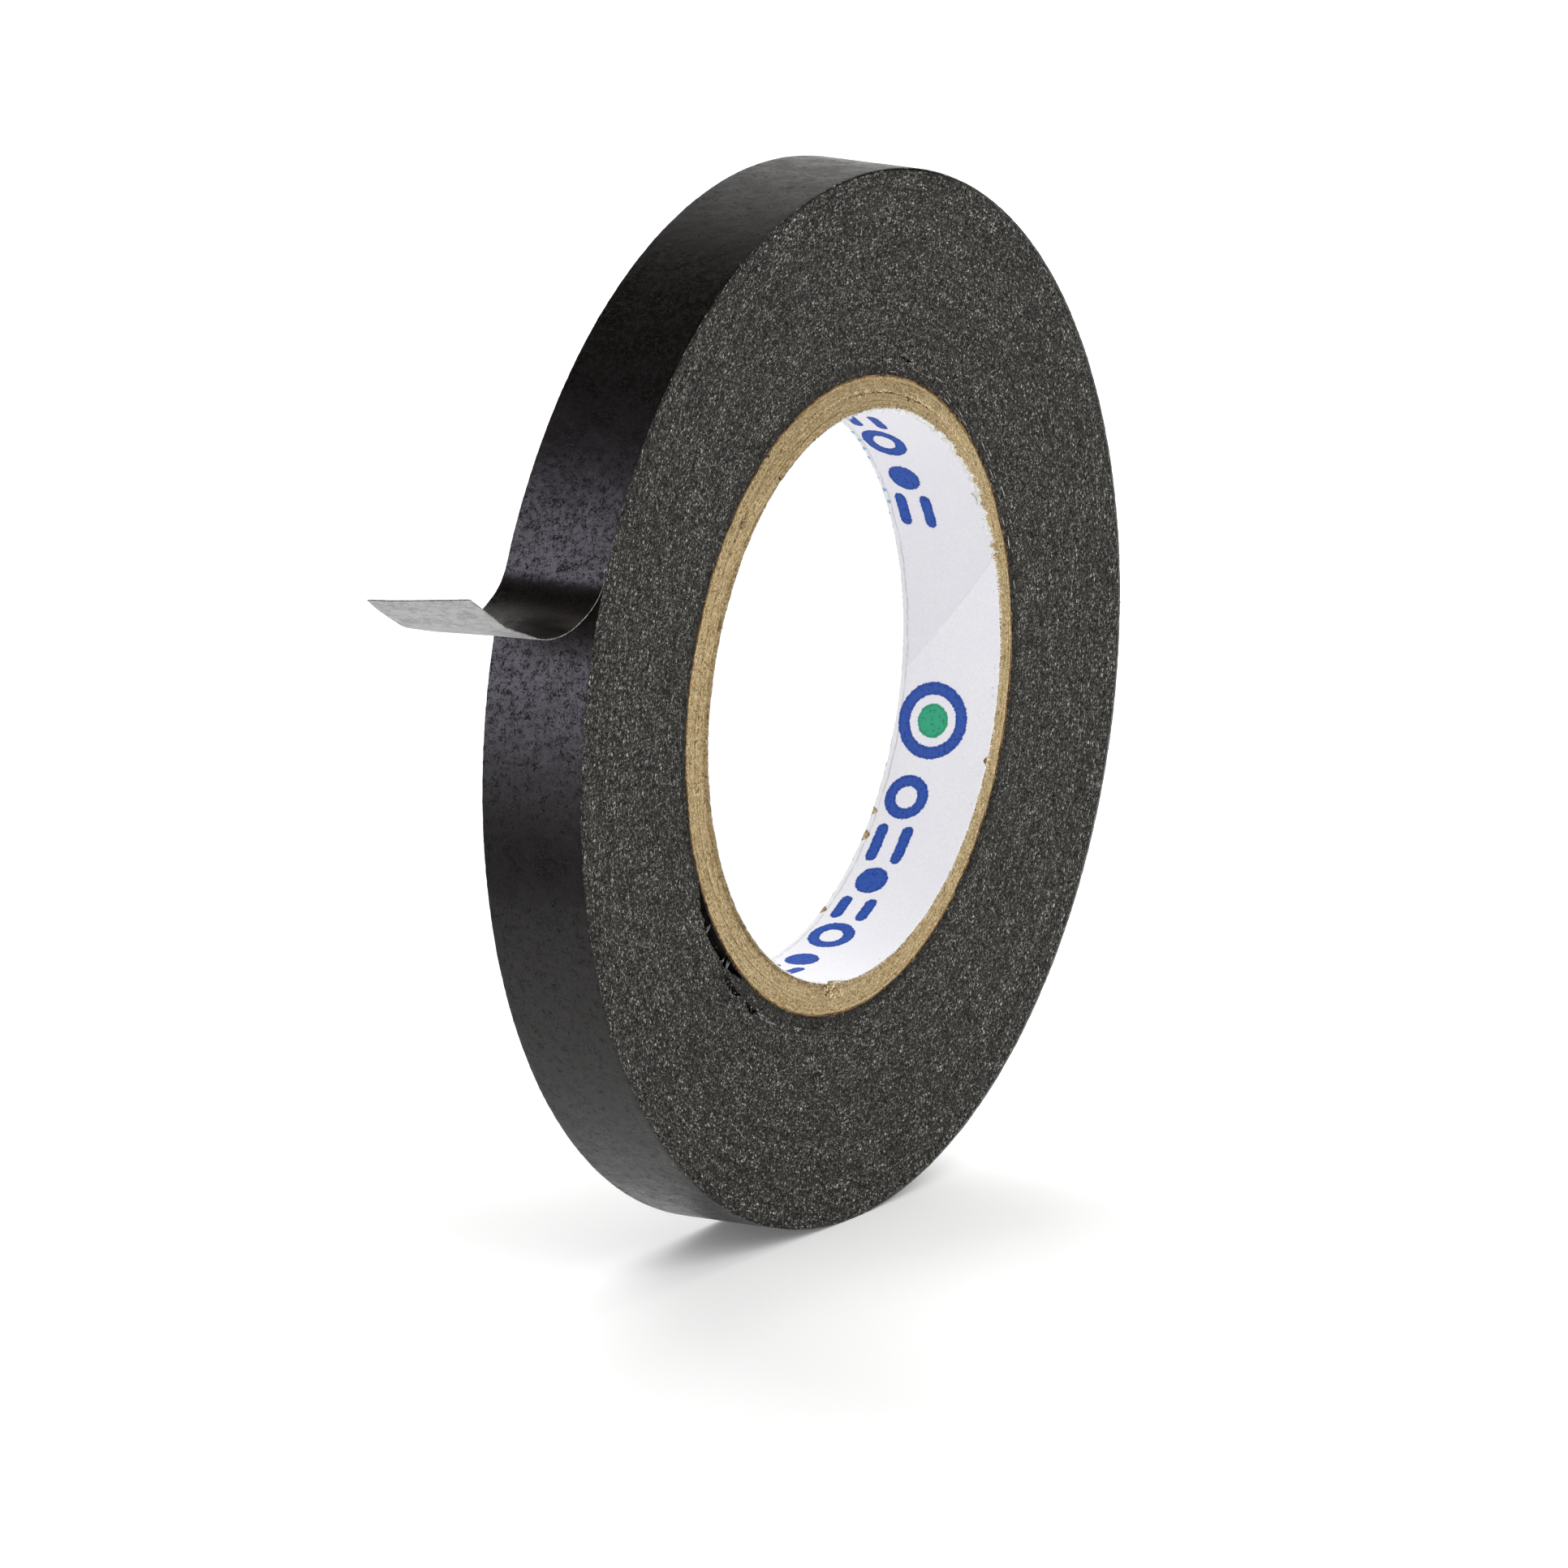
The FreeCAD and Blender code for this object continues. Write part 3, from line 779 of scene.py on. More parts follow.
def tape_layer(name, path, depth, cells, materials, lift=None):
    """One layer of a strip of tape, between two depths below the outer surface."""
    places, outward, length = path
    near, far = depth
    top_cells, bottom_cells = cells
    top = np.linspace(-1, 1, top_cells + 1)
    bottom = np.linspace(1, -1, bottom_cells + 1)
    width = np.concatenate([top, bottom])
    level = np.concatenate([np.full(top_cells + 1, near), np.full(bottom_cells + 1, far)])
    side = np.repeat([OUTER, BACK, INNER, FRONT], [top_cells, 1, bottom_cells, 1])
    run = length[:, None]
    ragged = np.where(width > 0, slit_edge(run, 1), slit_edge(run, 0))
    ragged = ragged * smooth(np.abs(width), 0.93, 1.0)
    y = width * HALF_WIDTH + np.sign(width) * ragged
    sunk = level + 0 * y
    if near == 0:
        surface = (level == near) * crinkle(run, y)
        rounding = (level == near) * 0.035 * smooth(np.abs(y), HALF_WIDTH - 0.35, HALF_WIDTH)
        sunk = sunk - surface + rounding
    if lift:
        sunk = sunk - lift(run, y)
    across = places[:, None, :] - outward[:, None, :] * sunk[..., None]
    points = np.stack([across[..., 0], y, across[..., 1]], -1)
    unrolled = np.stack([run + 0 * y, sunk, y], -1)
    return grid_piece(name, points, unrolled, side, materials, False)


LAYERS = (
    ("backing", (0.0, BACKING_THICKNESS), (56, 4), (EDGE, BACKING, EDGE, BACKING)),
    ("adhesive", (BACKING_THICKNESS, TAPE_THICKNESS), (2, 24), (EDGE, ADHESIVE, EDGE, ADHESIVE)),
)


def make_last_turn():
    for layer, depth, cells, materials in LAYERS:
        shown = cells if layer == "backing" else (2, 4)
        piece = tape_layer(f"last_turn_{layer}", last_turn_path(1300), depth, shown, materials)
        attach(piece, "outer_turn")
        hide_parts(f"outer_turn_{layer}")


def make_free_end():
    """The peeled end, from the lift line to the cut end."""
    for layer, depth, cells, materials in LAYERS:
        path = free_end_path(0.22)
        torn = tuple(TORN if material is EDGE else material for material in materials)
        piece = tape_layer(f"free_end_{layer}", path, depth, cells, torn, free_end_lift)
        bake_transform(piece)
        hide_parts(f"tail_{layer}")


# ---- The core ----

# Damage on the front edges. Angles are in degrees round the bore, sizes in millimetres.
CHIP_ANGLE = 263.0        # a chip through the liner and the inner half of the board, at the bottom
CHIP_DEPTH = 2.6
NICK_ANGLE = 335.5        # a nick in the liner and the plies next to it
SPLIT_ANGLE = 134.3       # a narrow slit at the outer edge of the inner half
CREST_ANGLE = 84.0        # where the inner plies have crept out most
CREST_REACH = (25.0, 75.0)    # from the crest to where the creep begins and ends to fall back
CRACK = (80, 42, 0.75)    # between the board's two halves: middle, half angle and depth
HALF_BOARD = 4            # plies in the inner half


def dent(angle, middle, half, depth):
    """A notch in an edge: depth in the middle of its angle, fading to nothing."""
    return depth * np.clip(1 - (angle_from(angle, middle) / half) ** 2, 0, None)


def creep_lost(angle, creep):
    """How far a crept ply falls back from its full creep."""
    return 0.8 * creep * smooth(np.abs(angle_from(angle, CREST_ANGLE)), *CREST_REACH)


def make_ply(number):
    """One board ply. The inner plies have crept out of the front face."""
    inner, outer = PLY_RADII[number - 1], PLY_RADII[number]
    name = f"core_ply_{number}"
    front_edge = reach_in_front(name)

    def height(angle, wall, side):
        radius = inner + (outer - inner) * wall
        seed = 100 + 10 * number + side
        rough = 0.05 * round_noise(angle, radius, inner, 0.45, seed)
        waves = 0.05 * round_noise(angle, 0 * radius, inner, 7.0, seed + 1)
        fuzz = 0.03 * round_noise(angle, radius, inner, 0.25, seed + 2)
        edge = 0.07 * (smooth(wall, 0.3, 0.0) + smooth(wall, 0.7, 1.0))
        chips = 0.0
        if side == FRONT:
            next_to_crack = number in (HALF_BOARD, HALF_BOARD + 1)
            reach = 4.4 - 0.5 * number
            notch = smooth(np.abs(angle_from(angle, CHIP_ANGLE)), reach, 0.45 * reach)
            notch = notch * (number <= HALF_BOARD)
            chips = CHIP_DEPTH * notch * (1 + 0.35 * rough / 0.05)
            chips = chips + dent(angle, NICK_ANGLE, 1.2, 0.5 * (number <= 2))
            chips = chips + dent(angle, SPLIT_ANGLE, 0.85, 2.2 * next_to_crack)
            chips = chips + creep_lost(angle, front_edge - HALF_WIDTH)
            if number == HALF_BOARD:
                chips = chips + dent(angle, *CRACK) * smooth(wall, 0.6, 1.0)
            if number == HALF_BOARD + 1:
                chips = chips + dent(angle, *CRACK) * smooth(wall, 0.25, 0.0)
        return rough + waves + fuzz - edge - chips

    seam = LINER_SEAM_ANGLE + number * SEAM_STEP
    piece = band_piece(f"board_ply_{number}", inner, outer, seam, SEAM_GAP, front_edge,
                       (720, 4, 8, 8), (BOARD,) * 4, height)
    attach(piece, "roll")
    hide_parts(name)


def make_kraft_ply():
    def height(angle, wall, side):
        waves = (0.07, 0.6, 91 + side), (0.06, 5.0, 93 + side)
        return ragged_edge(angle, CORE_RADIUS, *waves) - 0.04 + 0 * wall

    seam = LINER_SEAM_ANGLE - SEAM_STEP
    piece = band_piece("kraft_ply", PLY_RADII[-1], CORE_RADIUS, seam, SEAM_GAP, HALF_WIDTH,
                       (720, 2, 8, 8), (KRAFT,) * 4, height)
    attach(piece, "roll")
    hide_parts("core_outer_ply")


# Printed marks on the liner, repeated round the bore: a roundel, then plain rings, pairs of bars
# and discs. All sizes are in millimetres.
PRINT_REPEATS = 3
ROUNDEL_ANGLE = -18.0
ROUNDEL = (5.2, 3.5, 2.3)  # outer and inner radius of the blue ring, radius of the green disc
ROUNDEL_PLACE = 0.9       # from the middle plane towards the back
ROUNDEL_SHARE = 3 / 4     # of each repeat lies before the roundel
MARKS_START = 7.6         # from the roundel's middle to the first mark
MARKS = [                 # (kind, length along the print, gap after it)
    ("ring", 6.4, 0.9),
    ("bars", 6.0, 0.9),
    ("disc", 4.6, 0.9),
    ("bars", 4.6, 0.9),
    ("ring", 6.4, 2.4),
    ("disc", 4.6, 0.9),
    ("bars", 5.4, 0.0),
]
MARKS_PLACE = 2.2         # from the middle plane towards the back
BAR_THICKNESS = 1.7
BAR_SPREAD = 1.9          # of each bar's middle from the middle of the print
RING_THICKNESS = 1.6
LAP_REACH = 60.0          # over which the shade past the liner's seam fades
DAB_PITCH = 2.1           # pale dabs along the back edge, left by the next row of the print
DAB_RADIUS = 0.42
DAB_FROM_EDGE = 1.0
DAB_MIDDLE, DAB_HALF_SPAN = 38.0, 24.0   # degrees


def print_fields(length, y):
    """Distance in millimetres to the nearest blue, green and pale mark, negative inside it.

    The lap's painted shade is 1 just past the liner's seam and fades round the bore.
    """
    creep = reach_in_front("core_liner") - HALF_WIDTH
    slant = (y + creep) * math.tan(math.radians(SEAM_SLANT))
    seam = math.radians(LINER_SEAM_ANGLE) * BORE_RADIUS - slant
    past = (length - seam) % (FULL_TURN * BORE_RADIUS)
    repeat = FULL_TURN * BORE_RADIUS / PRINT_REPEATS
    before = repeat * ROUNDEL_SHARE
    place = length - math.radians(ROUNDEL_ANGLE) * BORE_RADIUS
    place = (place + before) % repeat - before
    edge = HALF_WIDTH - y
    reach = np.hypot(place, y - ROUNDEL_PLACE)
    outer, inner, dot = ROUNDEL
    blue = np.maximum(reach - outer, inner - reach)
    green = reach - dot
    start = MARKS_START
    y = y - MARKS_PLACE
    for kind, size, gap in MARKS:
        along = place + start + size / 2
        if kind == "disc":
            mark = np.hypot(along, y) - size / 2
        elif kind == "ring":
            mark = np.abs(np.hypot(along, y) - size / 2 + RING_THICKNESS / 2) - RING_THICKNESS / 2
        else:
            beyond = np.clip(np.abs(along) - size / 2 + BAR_THICKNESS / 2, 0, None)
            mark = np.hypot(beyond, np.abs(np.abs(y) - BAR_SPREAD)) - BAR_THICKNESS / 2
        blue = np.minimum(blue, mark)
        start += size + gap
    dab = (length + DAB_PITCH / 2) % DAB_PITCH - DAB_PITCH / 2
    spread = 0.5 * noise(length / DAB_PITCH, 0 * length, 141)
    pale = np.hypot(dab * 1.2, edge - DAB_FROM_EDGE - spread) - DAB_RADIUS
    in_span = np.abs(angle_from(length / BORE_RADIUS, DAB_MIDDLE)) < DAB_HALF_SPAN
    pale = np.where(in_span, pale, 1.0)
    lap_shade = np.exp(-past / LAP_REACH)
    return {"print_blue": blue, "print_green": green, "print_pale": pale, "lap_shade": lap_shade}


FRAYED_ANGLE = 33         # where a tuft of fibres stands out of a nick in the liner's front edge
LINER_NICKS = {           # (middle, half angle, depth)
    FRONT: [(CHIP_ANGLE, 3.6, 1.3), (NICK_ANGLE, 1.0, 0.6), (FRAYED_ANGLE, 2.6, 0.45)],
    BACK: [(322, 0.9, 0.8), (316.4, 1.4, 1.0), (296, 1.2, 0.7)],
}


def liner_tear(angle, side):
    """How far the liner's torn edge wanders. It is torn most on the right of the bore."""
    torn = ragged_edge(angle, BORE_RADIUS, (0.42, 0.8, 121 + side), (0.22, 0.4, 127 + side),
                       (0.18, 3.0, 123 + side))
    most = 55 if side == FRONT else 200
    return torn * (0.10 + 0.90 * smooth(np.abs(angle_from(angle, most)), 43, 34))


def make_liner():
    def height(angle, wall, side):
        fray = ragged_edge(angle, BORE_RADIUS, (0.04, 0.35, 125 + side))
        chips = sum(dent(angle, *nick) for nick in LINER_NICKS[side])
        return liner_tear(angle, side) + fray - chips - 0.08 + 0 * wall

    piece = band_piece("lining_paper", BORE_RADIUS, LINER_RADIUS, LINER_SEAM_ANGLE, 0.015,
                       reach_in_front("core_liner"), (860, 1, 8, 54), (LINER, BOARD, LINER, LINER),
                       height, print_fields)
    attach(piece, "roll")
    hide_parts("core_liner")


# ---- Fibres and strands ----

def thread_piece(name, paths, radii, material, tones):
    """Many thin three-sided threads in one mesh. paths is (threads, points, 3)."""
    count, steps = paths.shape[:2]
    along = np.gradient(paths, axis=1)
    along /= np.maximum(np.linalg.norm(along, axis=2, keepdims=True), 1e-9)
    guide = np.where(np.abs(along[..., 1:2]) > 0.9, np.array([1.0, 0, 0]), np.array([0, 1.0, 0]))
    first = np.cross(along, guide)
    first /= np.linalg.norm(first, axis=2, keepdims=True)
    second = np.cross(along, first)
    taper = np.sin(np.linspace(0.25, math.pi - 0.25, steps))[None, :, None, None]
    turn = np.arange(3) / 3 * FULL_TURN
    ring = first[:, :, None] * np.cos(turn)[:, None] + second[:, :, None] * np.sin(turn)[:, None]
    points = paths[:, :, None] + ring * taper * radii[:, None, None, None]
    base = (np.arange(count) * steps * 3)[:, None, None]
    i, k = np.meshgrid(np.arange(steps - 1), np.arange(3), indexing="ij")
    here, there, following = i * 3, (i + 1) * 3, (k + 1) % 3
    quad = np.stack([here + k, there + k, there + following, here + following], -1)
    quads = (base + quad.reshape(1, -1, 4)).reshape(-1, 4)
    caps = np.array([[2, 1, 0], [steps * 3 - 3, steps * 3 - 2, steps * 3 - 1]])
    caps = (base + caps[None]).reshape(-1, 3)
    faces = [*quads[:, ::-1], *caps[:, ::-1]]
    tone = np.repeat(tones, steps * 3)
    flat = points.reshape(-1, 3)
    return write_mesh(name, flat, faces, [material], np.zeros(len(faces)), {}, {"tone": tone})


def curly_paths(rng, starts, lengths, curl, steps):
    """Paths on a flat face: each one wanders about its first direction."""
    heading = rng.uniform(0, FULL_TURN, len(starts))[:, None]
    bend = rng.normal(0, curl, (len(starts), 1)) + rng.normal(0, curl, (len(starts), steps))
    heading = heading + np.cumsum(bend, 1)
    step = (lengths / (steps - 1))[:, None]
    x = starts[:, :1] + np.cumsum(step * np.cos(heading), 1)
    z = starts[:, 1:] + np.cumsum(step * np.sin(heading), 1)
    return x, z


def make_edge_fibres(name, side, count, seed):
    """Short curly fibres that stand out of the slit edges of the wound tape."""
    rng = np.random.default_rng(seed)
    low, high = CORE_RADIUS + 1.4, PACK_LOOK_RADIUS + 0.1
    radius = np.sqrt(rng.uniform(low ** 2, high ** 2, count))
    angle = rng.uniform(0, FULL_TURN, count)
    share = (radius - CORE_RADIUS) / (PACK_LOOK_RADIUS - CORE_RADIUS)
    centre = TAPE_CENTRE * share[:, None]
    starts = centre + radius[:, None] * np.stack([np.cos(angle), np.sin(angle)], -1)
    lengths = rng.gamma(3.0, 0.10, count) + 0.14
    steps = 4
    x, z = curly_paths(rng, starts, lengths, 0.55, steps)
    middle = TAPE_CENTRE * 0.5
    reach = np.hypot(x - middle[0], z - middle[1])
    turn = np.arctan2(z - middle[1], x - middle[0]) % FULL_TURN
    arch = np.sin(np.linspace(0, math.pi, steps)) * rng.uniform(0.0, 0.08, (count, 1))
    out = HALF_WIDTH + edge_height(turn, reach, side) + 0.012 + arch
    y = -out if side == FRONT else out
    paths = np.stack([x, y, z], -1)
    radii = rng.uniform(0.028, 0.058, count)
    piece = thread_piece(name, paths, radii, FIBRE, rng.uniform(0, 1, count))
    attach(piece, "roll")


TUFT_FIBRES = 260


def make_liner_fray():
    """Torn fibres along the liner's front edge, thickest on the upper right of the bore."""
    rng = np.random.default_rng(23)
    count, steps = 6500, 5
    in_thick = rng.uniform(0, 1, count) < 0.72
    angle = np.where(in_thick, rng.normal(56, 22, count), rng.uniform(0, 360, count))
    angle[:TUFT_FIBRES] = rng.normal(FRAYED_ANGLE, 1.6, TUFT_FIBRES)
    angle = np.radians(angle)[:, None]
    share = np.linspace(0, 1, steps)
    length = rng.gamma(2.5, 0.10, (count, 1)) + 0.08
    lean = rng.normal(0, 0.9, (count, 1)) + rng.normal(0, 0.25, (count, steps)).cumsum(1)
    turn = angle + np.cumsum(np.sin(lean), 1) * length / steps / BORE_RADIUS
    root = -reach_in_front("core_liner") - liner_tear(angle, FRONT) + 0.08
    root = root + rng.uniform(-0.05, 0.22, (count, 1))
    y = root - np.cumsum(np.cos(lean), 1) * length / steps
    radius = BORE_RADIUS + rng.uniform(-0.02, 0.16, (count, 1))
    radius = radius + rng.normal(0.05, 0.16, (count, 1)) * share
    paths, radii = around(radius, turn, y), rng.uniform(0.018, 0.045, count)
    piece = thread_piece("liner_fray", paths, radii, FRAY, rng.uniform(0, 1, count))
    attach(piece, "roll")


def make_board_fibres():
    """Fibres of the core board: on its front face, along the ridge on top, in the chip below."""
    rng = np.random.default_rng(29)
    steps = 5
    share = np.linspace(0, 1, steps)
    half_radius = PLY_RADII[HALF_BOARD]
    edges = np.array([reach_in_front(f"core_ply_{n}") for n in range(1, PLY_COUNT + 1)])
    groups = [            # (middle angle, spread, inner and outer radius, count, lean, two tones)
        (180.0, 180.0, LINER_RADIUS, CORE_RADIUS, 2600, 0.9, 0.0, 0.75),
        (82.0, 40.0, half_radius + 0.10, half_radius + 0.24, 520, 0.22, 0.7, 1.0),
        (CHIP_ANGLE, 3.6, LINER_RADIUS, half_radius, 260, 1.4, 0.75, 1.0),
        (180.0, 180.0, CORE_RADIUS - 0.12, CORE_RADIUS + 0.06, 500, 0.3, 0.0, 0.35),
    ]
    paths, tones = [], []
    for middle, spread, low, high, count, lean, dark, light in groups:
        angle = np.radians(rng.uniform(middle - spread, middle + spread, (count, 1)))
        radius = rng.uniform(low, high, (count, 1))
        length = rng.gamma(3.0, 0.11, (count, 1)) + 0.12
        heading = rng.normal(0, lean, (count, 1)) + rng.normal(0, 0.3, (count, steps)).cumsum(1)
        along = np.cumsum(np.cos(heading), 1) * length / steps
        radius = radius + np.cumsum(np.sin(heading), 1) * length / steps
        turn = angle + along / radius
        ply = np.searchsorted(PLY_RADII, radius.mean(1)).clip(1, PLY_COUNT)
        edge = edges[ply - 1]
        sunk = creep_lost(angle[:, 0], edge - HALF_WIDTH)
        in_chip = dent(angle[:, 0], CHIP_ANGLE, 3.6, 1.0) > 0.1
        chip = 1.1 * in_chip * (radius.mean(1) < PLY_RADII[3])
        rise = rng.uniform(-0.03, 0.05, (count, 1)) + 0.05 * np.sin(math.pi * share)
        root = edge - sunk - chip * rng.uniform(0.0, 0.7, count)
        y = -root[:, None] - rise - 0.06 * (dark > 0.6)
        paths.append(around(radius, turn, y))
        tones.append(rng.uniform(dark, light, count))
    paths = np.concatenate(paths)
    tones = np.concatenate(tones)
    radii = rng.uniform(0.022, 0.055, len(paths)) * (1 + 0.5 * (tones > 0.75))
    piece = thread_piece("board_fibres", paths, radii, BOARD_FIBRE, tones)
    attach(piece, "roll")


def make_stray_bits():
    """A curled white thread and a tan fleck at the rim's front edge, by the lift line."""
    def at_rim(radius, turn, out):
        x, z = TAPE_CENTRE[0] + radius * np.cos(turn), TAPE_CENTRE[1] + radius * np.sin(turn)
        return np.hstack([x, -HALF_WIDTH - out, z])

    share = np.linspace(0, 1, 9)[:, None]
    curl_radius = 0.34
    swing = FULL_TURN * 0.72 * share + 0.6
    radius = ROLL_RADIUS + 0.30 + curl_radius * np.sin(swing)
    turn = math.radians(LIFT_ANGLE - 0.6) + curl_radius * np.cos(swing) / ROLL_RADIUS
    curl = at_rim(radius, turn, 0.05 + 0.12 * share)
    turn = math.radians(LIFT_ANGLE + 4.6) + 0.55 * share / ROLL_RADIUS
    fleck = at_rim(ROLL_RADIUS - 0.35 + 0.2 * share, turn, 0.06 + 0 * share)
    radii = np.array([0.055, 0.12])
    piece = thread_piece("stray_bits", np.stack([curl, fleck]), radii, FIBRE, np.array([0.95, 1.0]))
    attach(piece, "outer_turn")


def make_strands():
    """Adhesive drawn out across the gaps between the core and the first turns."""
    rng = np.random.default_rng(17)
    groups = [            # (middle angle, spread, count, inner radius, outer radius)
        (205.0, 1.0, 3, CORE_RADIUS, CORE_RADIUS + 0.9),
        (213.0, 0.8, 3, CORE_RADIUS, CORE_RADIUS + 1.9),
        (223.5, 1.6, 6, CORE_RADIUS, CORE_RADIUS + 1.5),
        (228.0, 1.6, 4, FIRST_TURNS_RADIUS, FIRST_TURNS_RADIUS + 0.6),
        (235.8, 1.2, 4, FIRST_TURNS_RADIUS, FIRST_TURNS_RADIUS + 0.6),
        (73.0, 4.2, 26, FIRST_TURNS_RADIUS, FIRST_TURNS_RADIUS + 0.5),
    ]
    lying = [(236.5, 243.0)] * 9 + [(8, 84)] * 34      # threads along the turns, below and above
    steps = 7
    share = np.linspace(0, 1, steps)
    paths = []
    for middle, spread, count, low, high in groups:
        for _ in range(count):
            angle = math.radians(middle + rng.uniform(-spread, spread))
            lean = math.radians(rng.normal(0, 0.5))
            depth = rng.uniform(0.15, 1.6)
            radius = low - 0.05 + (high - low + 0.1) * share
            sway = math.radians(rng.normal(0, 0.12)) * np.sin(math.pi * share)
            y = -HALF_WIDTH + depth + rng.normal(0, 0.15) * share
            paths.append(around(radius, angle + lean * share + sway, y))
    for first, last in lying:
        middle = math.radians(rng.uniform(first, last))
        spread = math.radians(rng.uniform(0.6, 2.6))
        radius = CORE_RADIUS + rng.choice([0.5, 0.9, 1.5, 2.15]) + 0.05 * rng.normal(0, 1, steps)
        if first > 180:
            radius = radius - radius.mean() + FIRST_TURNS_RADIUS + rng.uniform(0.05, 0.6)
        y = -HALF_WIDTH - rng.uniform(0.02, 0.07) + 0 * share
        paths.append(around(radius, middle + spread * share, y))
    paths = np.array(paths)
    radii = rng.uniform(0.03, 0.075, len(paths))
    radii[-len(lying):] *= 0.6
    piece = thread_piece("adhesive_strands", paths, radii, STRAND, rng.uniform(0, 1, len(paths)))
    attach(piece, "roll")


# ---- Stage, light and camera ----

CAMERA_DISTANCE = 5.0     # metres from the middle of the roll: a long lens
CAMERA_PLACE = (-59.633, 13.193)      # azimuth and elevation seen from the middle of the roll
CAMERA_AIM = (-59.601, 13.331)        # azimuth and elevation of the line of sight
CAMERA_LENS = 867.7


def backwards(azimuth, elevation):
    """Unit vector towards a camera at this azimuth and elevation in degrees."""
    a, e = math.radians(azimuth), math.radians(elevation)
    return Vector((math.sin(a) * math.cos(e), -math.cos(a) * math.cos(e), math.sin(e)))


def place_object(name, data, location, turn):
    thing = add_object(name, data)
    thing.location = location
    thing.rotation_mode = "QUATERNION"
    thing.rotation_quaternion = turn
    return thing


def make_camera():
    data = bpy.data.cameras.new("camera")
    data.lens = CAMERA_LENS
    data.clip_end = 50
    middle = Vector((TAPE_CENTRE[0], 0, TAPE_CENTRE[1])) * MM
    location = middle + backwards(*CAMERA_PLACE) * CAMERA_DISTANCE
    turn = (-backwards(*CAMERA_AIM)).to_track_quat("-Z", "Y")
    bpy.context.scene.camera = place_object("camera", data, location, turn)


def make_softbox(name, direction, distance, size, strength, colour=(1, 1, 1), shine_only=False):
    """A square lamp that faces the roll. Its strength is the radiance of its face.

    A lamp for shine only is seen in reflections and lights nothing else; the others leave no shine.
    """
    data = bpy.data.lights.new(name, "AREA")
    data.shape = "RECTANGLE"
    data.size, data.size_y = size
    data.energy = strength * math.pi * size[0] * size[1]
    data.color = colour
    away = Vector(direction).normalized()
    lamp = place_object(name, data, away * distance, away.to_track_quat("Z", "Y"))
    lamp.visible_glossy = shine_only
    lamp.visible_diffuse = not shine_only


def stage_piece(name, points, faces, material):
    mesh = bpy.data.meshes.new(name)
    mesh.from_pydata(points, [], faces)
    mesh.materials.append(material)
    piece = add_object(name, mesh)
    return piece


def make_floor():
    """A disc of rings that grow wider outwards, with its middle closed by one face."""
    rings, spokes, reach = 12, 96, 3.0
    radius = reach * (np.arange(1, rings + 1)[:, None] / rings) ** 2
    angle = np.arange(spokes) / spokes * FULL_TURN
    x, y = radius * np.cos(angle), radius * np.sin(angle)
    points = np.stack([x, y, 0 * x + cad_low.z], -1).reshape(-1, 3)
    ring, spoke = np.meshgrid(np.arange(rings - 1) * spokes, np.arange(spokes), indexing="ij")
    following = (spoke + 1) % spokes
    corners = [ring + spoke, ring + spokes + spoke, ring + spokes + following, ring + following]
    quads = np.stack(corners, -1).reshape(-1, 4).tolist()
    stage_piece("floor", points.tolist(), [list(range(spokes))] + quads, floor_material())


FLAG_MIDDLE = (-0.195, 0.084)         # on the floor, beyond the left of the picture
FLAG_SIZE = (0.13, 0.30)
FLAG_TURN = 149.5
FLAG_RISE = 0.002         # metres above the floor


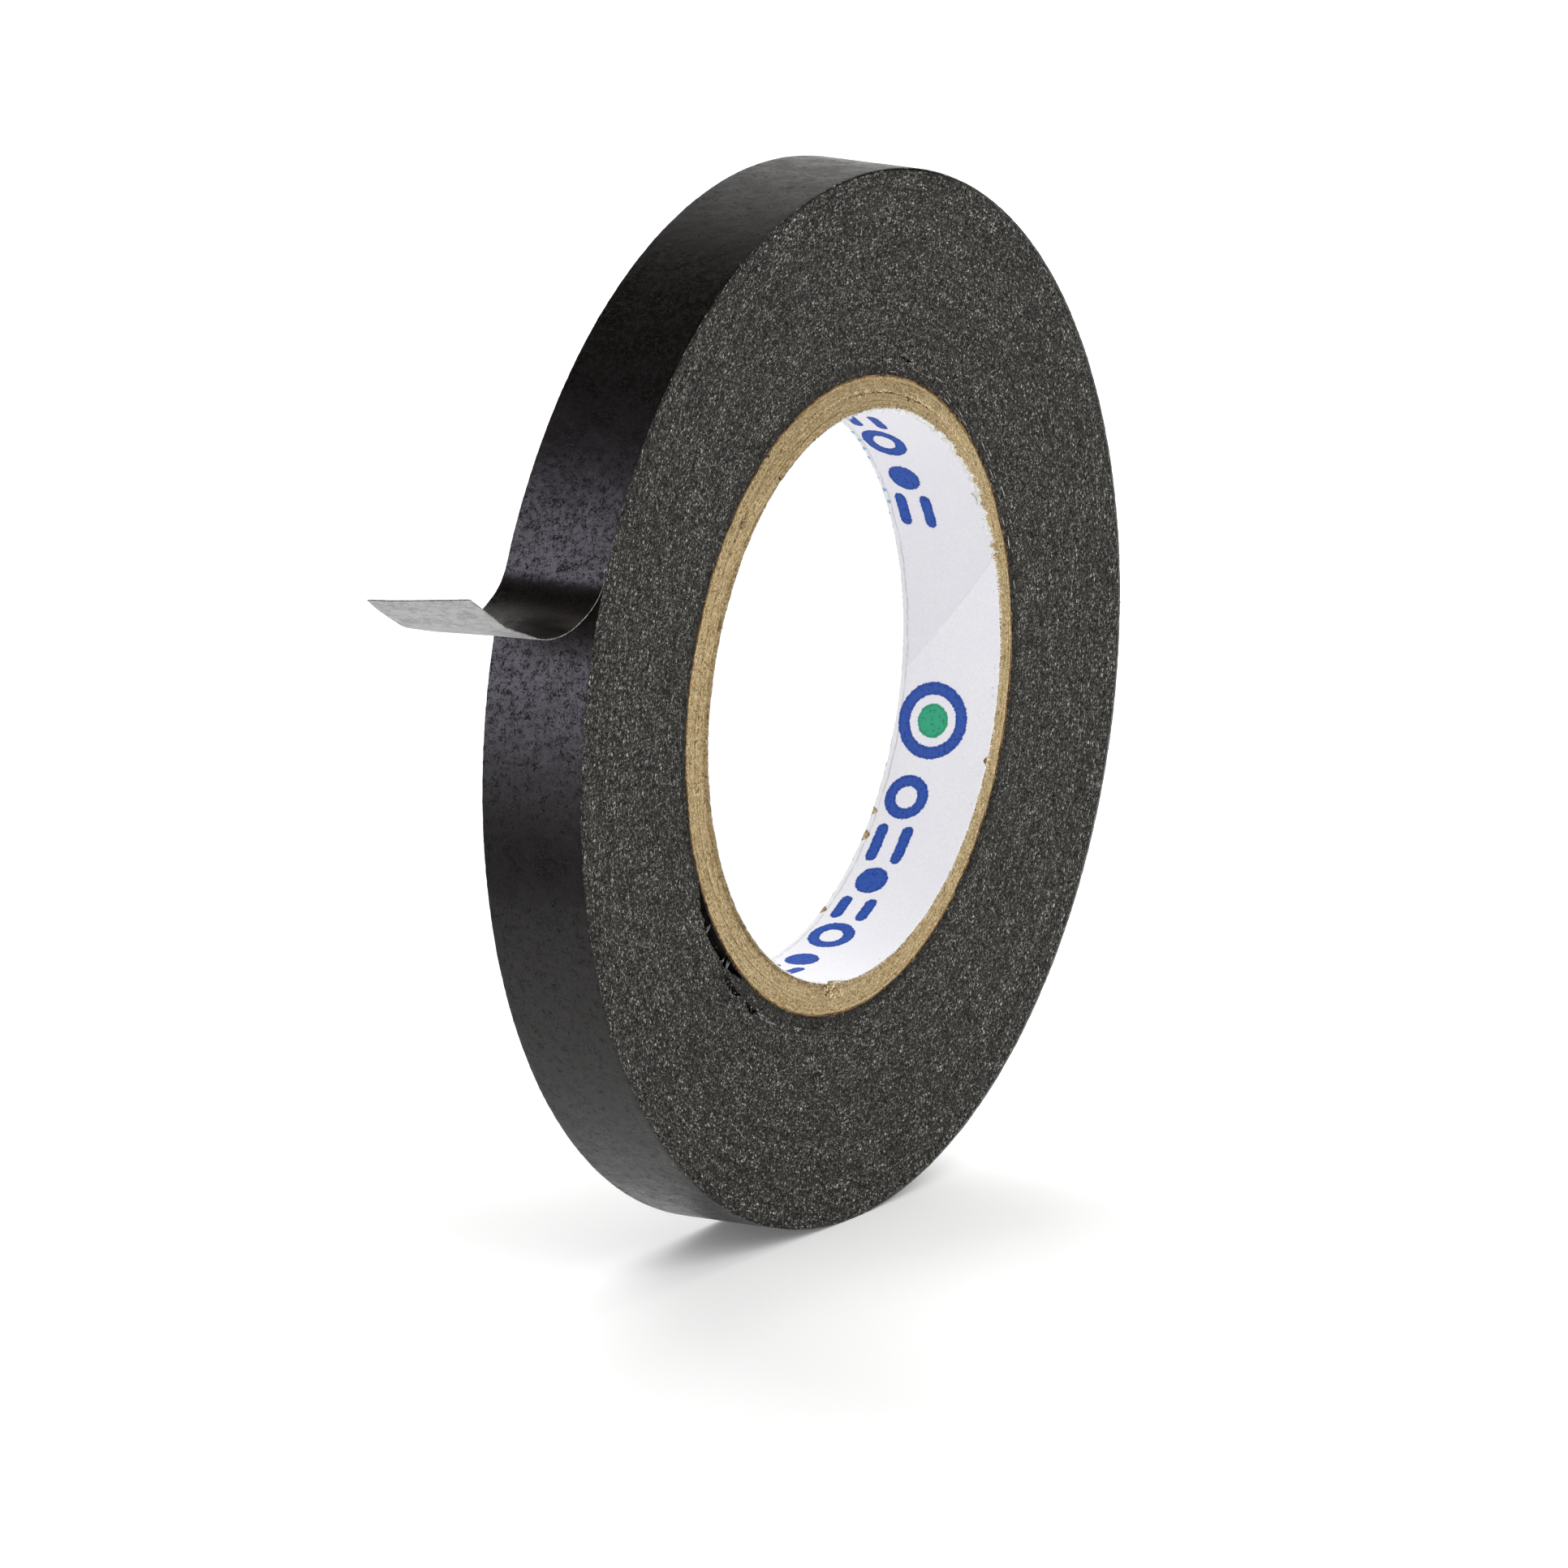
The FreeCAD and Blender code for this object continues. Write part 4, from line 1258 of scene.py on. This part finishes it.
def make_flag():
    """A black card on the floor that only reflections see: it darkens the lower left of the rim."""
    s = Shader("black_card")
    tone = s.noise(s.coordinates("Object"), 30.0)
    material = s.finish(s.mix(tone, grey(0.01), grey(0.02)), 0.9)
    half = np.array(FLAG_SIZE) / 2
    turn = math.radians(FLAG_TURN)
    along = np.array([math.cos(turn), math.sin(turn)])
    across = np.array([-math.sin(turn), math.cos(turn)])
    corners = [np.array(FLAG_MIDDLE) + along * a * half[0] + across * b * half[1]
               for a, b in ((-1, -1), (1, -1), (1, 1), (-1, 1))]
    points = [(x, y, cad_low.z + FLAG_RISE) for x, y in corners]
    card = stage_piece("black_card", points, [(0, 1, 2, 3)], material)
    card.visible_camera = card.visible_diffuse = card.visible_shadow = False


WORLD_STRENGTH = 0.77
DARK_STRENGTH = 0.02
DARK_MIDDLE = (-0.08, 0.49, 0.866)    # of the dark patch high at the back
DARK_REACH = (0.70, 0.90)             # cosines where it starts and where it is full


def make_world():
    """Even pale surroundings, with a dark patch high at the back that deepens the rim's shading."""
    world = bpy.data.worlds.new("surroundings")
    world.use_nodes = True
    s = Nodes(world.node_tree)
    middle = Vector(DARK_MIDDLE).normalized()
    towards = s.vector_math("DOT_PRODUCT", s.coordinates("Generated"), middle).outputs["Value"]
    background = s.tree.nodes["Background"].inputs
    s.feed(background["Strength"], s.band(towards, *DARK_REACH, WORLD_STRENGTH, DARK_STRENGTH))
    s.feed(background["Color"], (1.0, 0.99, 0.98, 1))
    bpy.context.scene.world = world


make_camera()
make_first_wrap()
make_inner_turns()
make_pack()
make_last_turn()
make_free_end()
for ply in range(1, PLY_COUNT + 1):
    make_ply(ply)
make_kraft_ply()
make_liner()
make_strands()
make_liner_fray()
make_board_fibres()
make_stray_bits()
make_edge_fibres("edge_fibres_front", FRONT, 9000, 5)
make_edge_fibres("edge_fibres_back", BACK, 9000, 6)

make_floor()
make_world()
make_flag()
make_softbox("left_back_softbox", (-0.94, 0.60, 0.42), 1.19, (0.8, 1.0), 4.8, (0.93, 0.88, 1.08),
             shine_only=True)
make_softbox("back_softbox", (0.492, 0.587, 0.643), 2.6, (2.1, 2.1), 3.6)
make_softbox("right_softbox", (0.831, 0.117, 0.545), 2.6, (1.45, 1.45), 2.9)
make_softbox("front_softbox", (-0.35, -0.80, 0.75), 3.2, (2.4, 2.4), 2.35)
bpy.context.scene.view_settings.view_transform = "Standard"
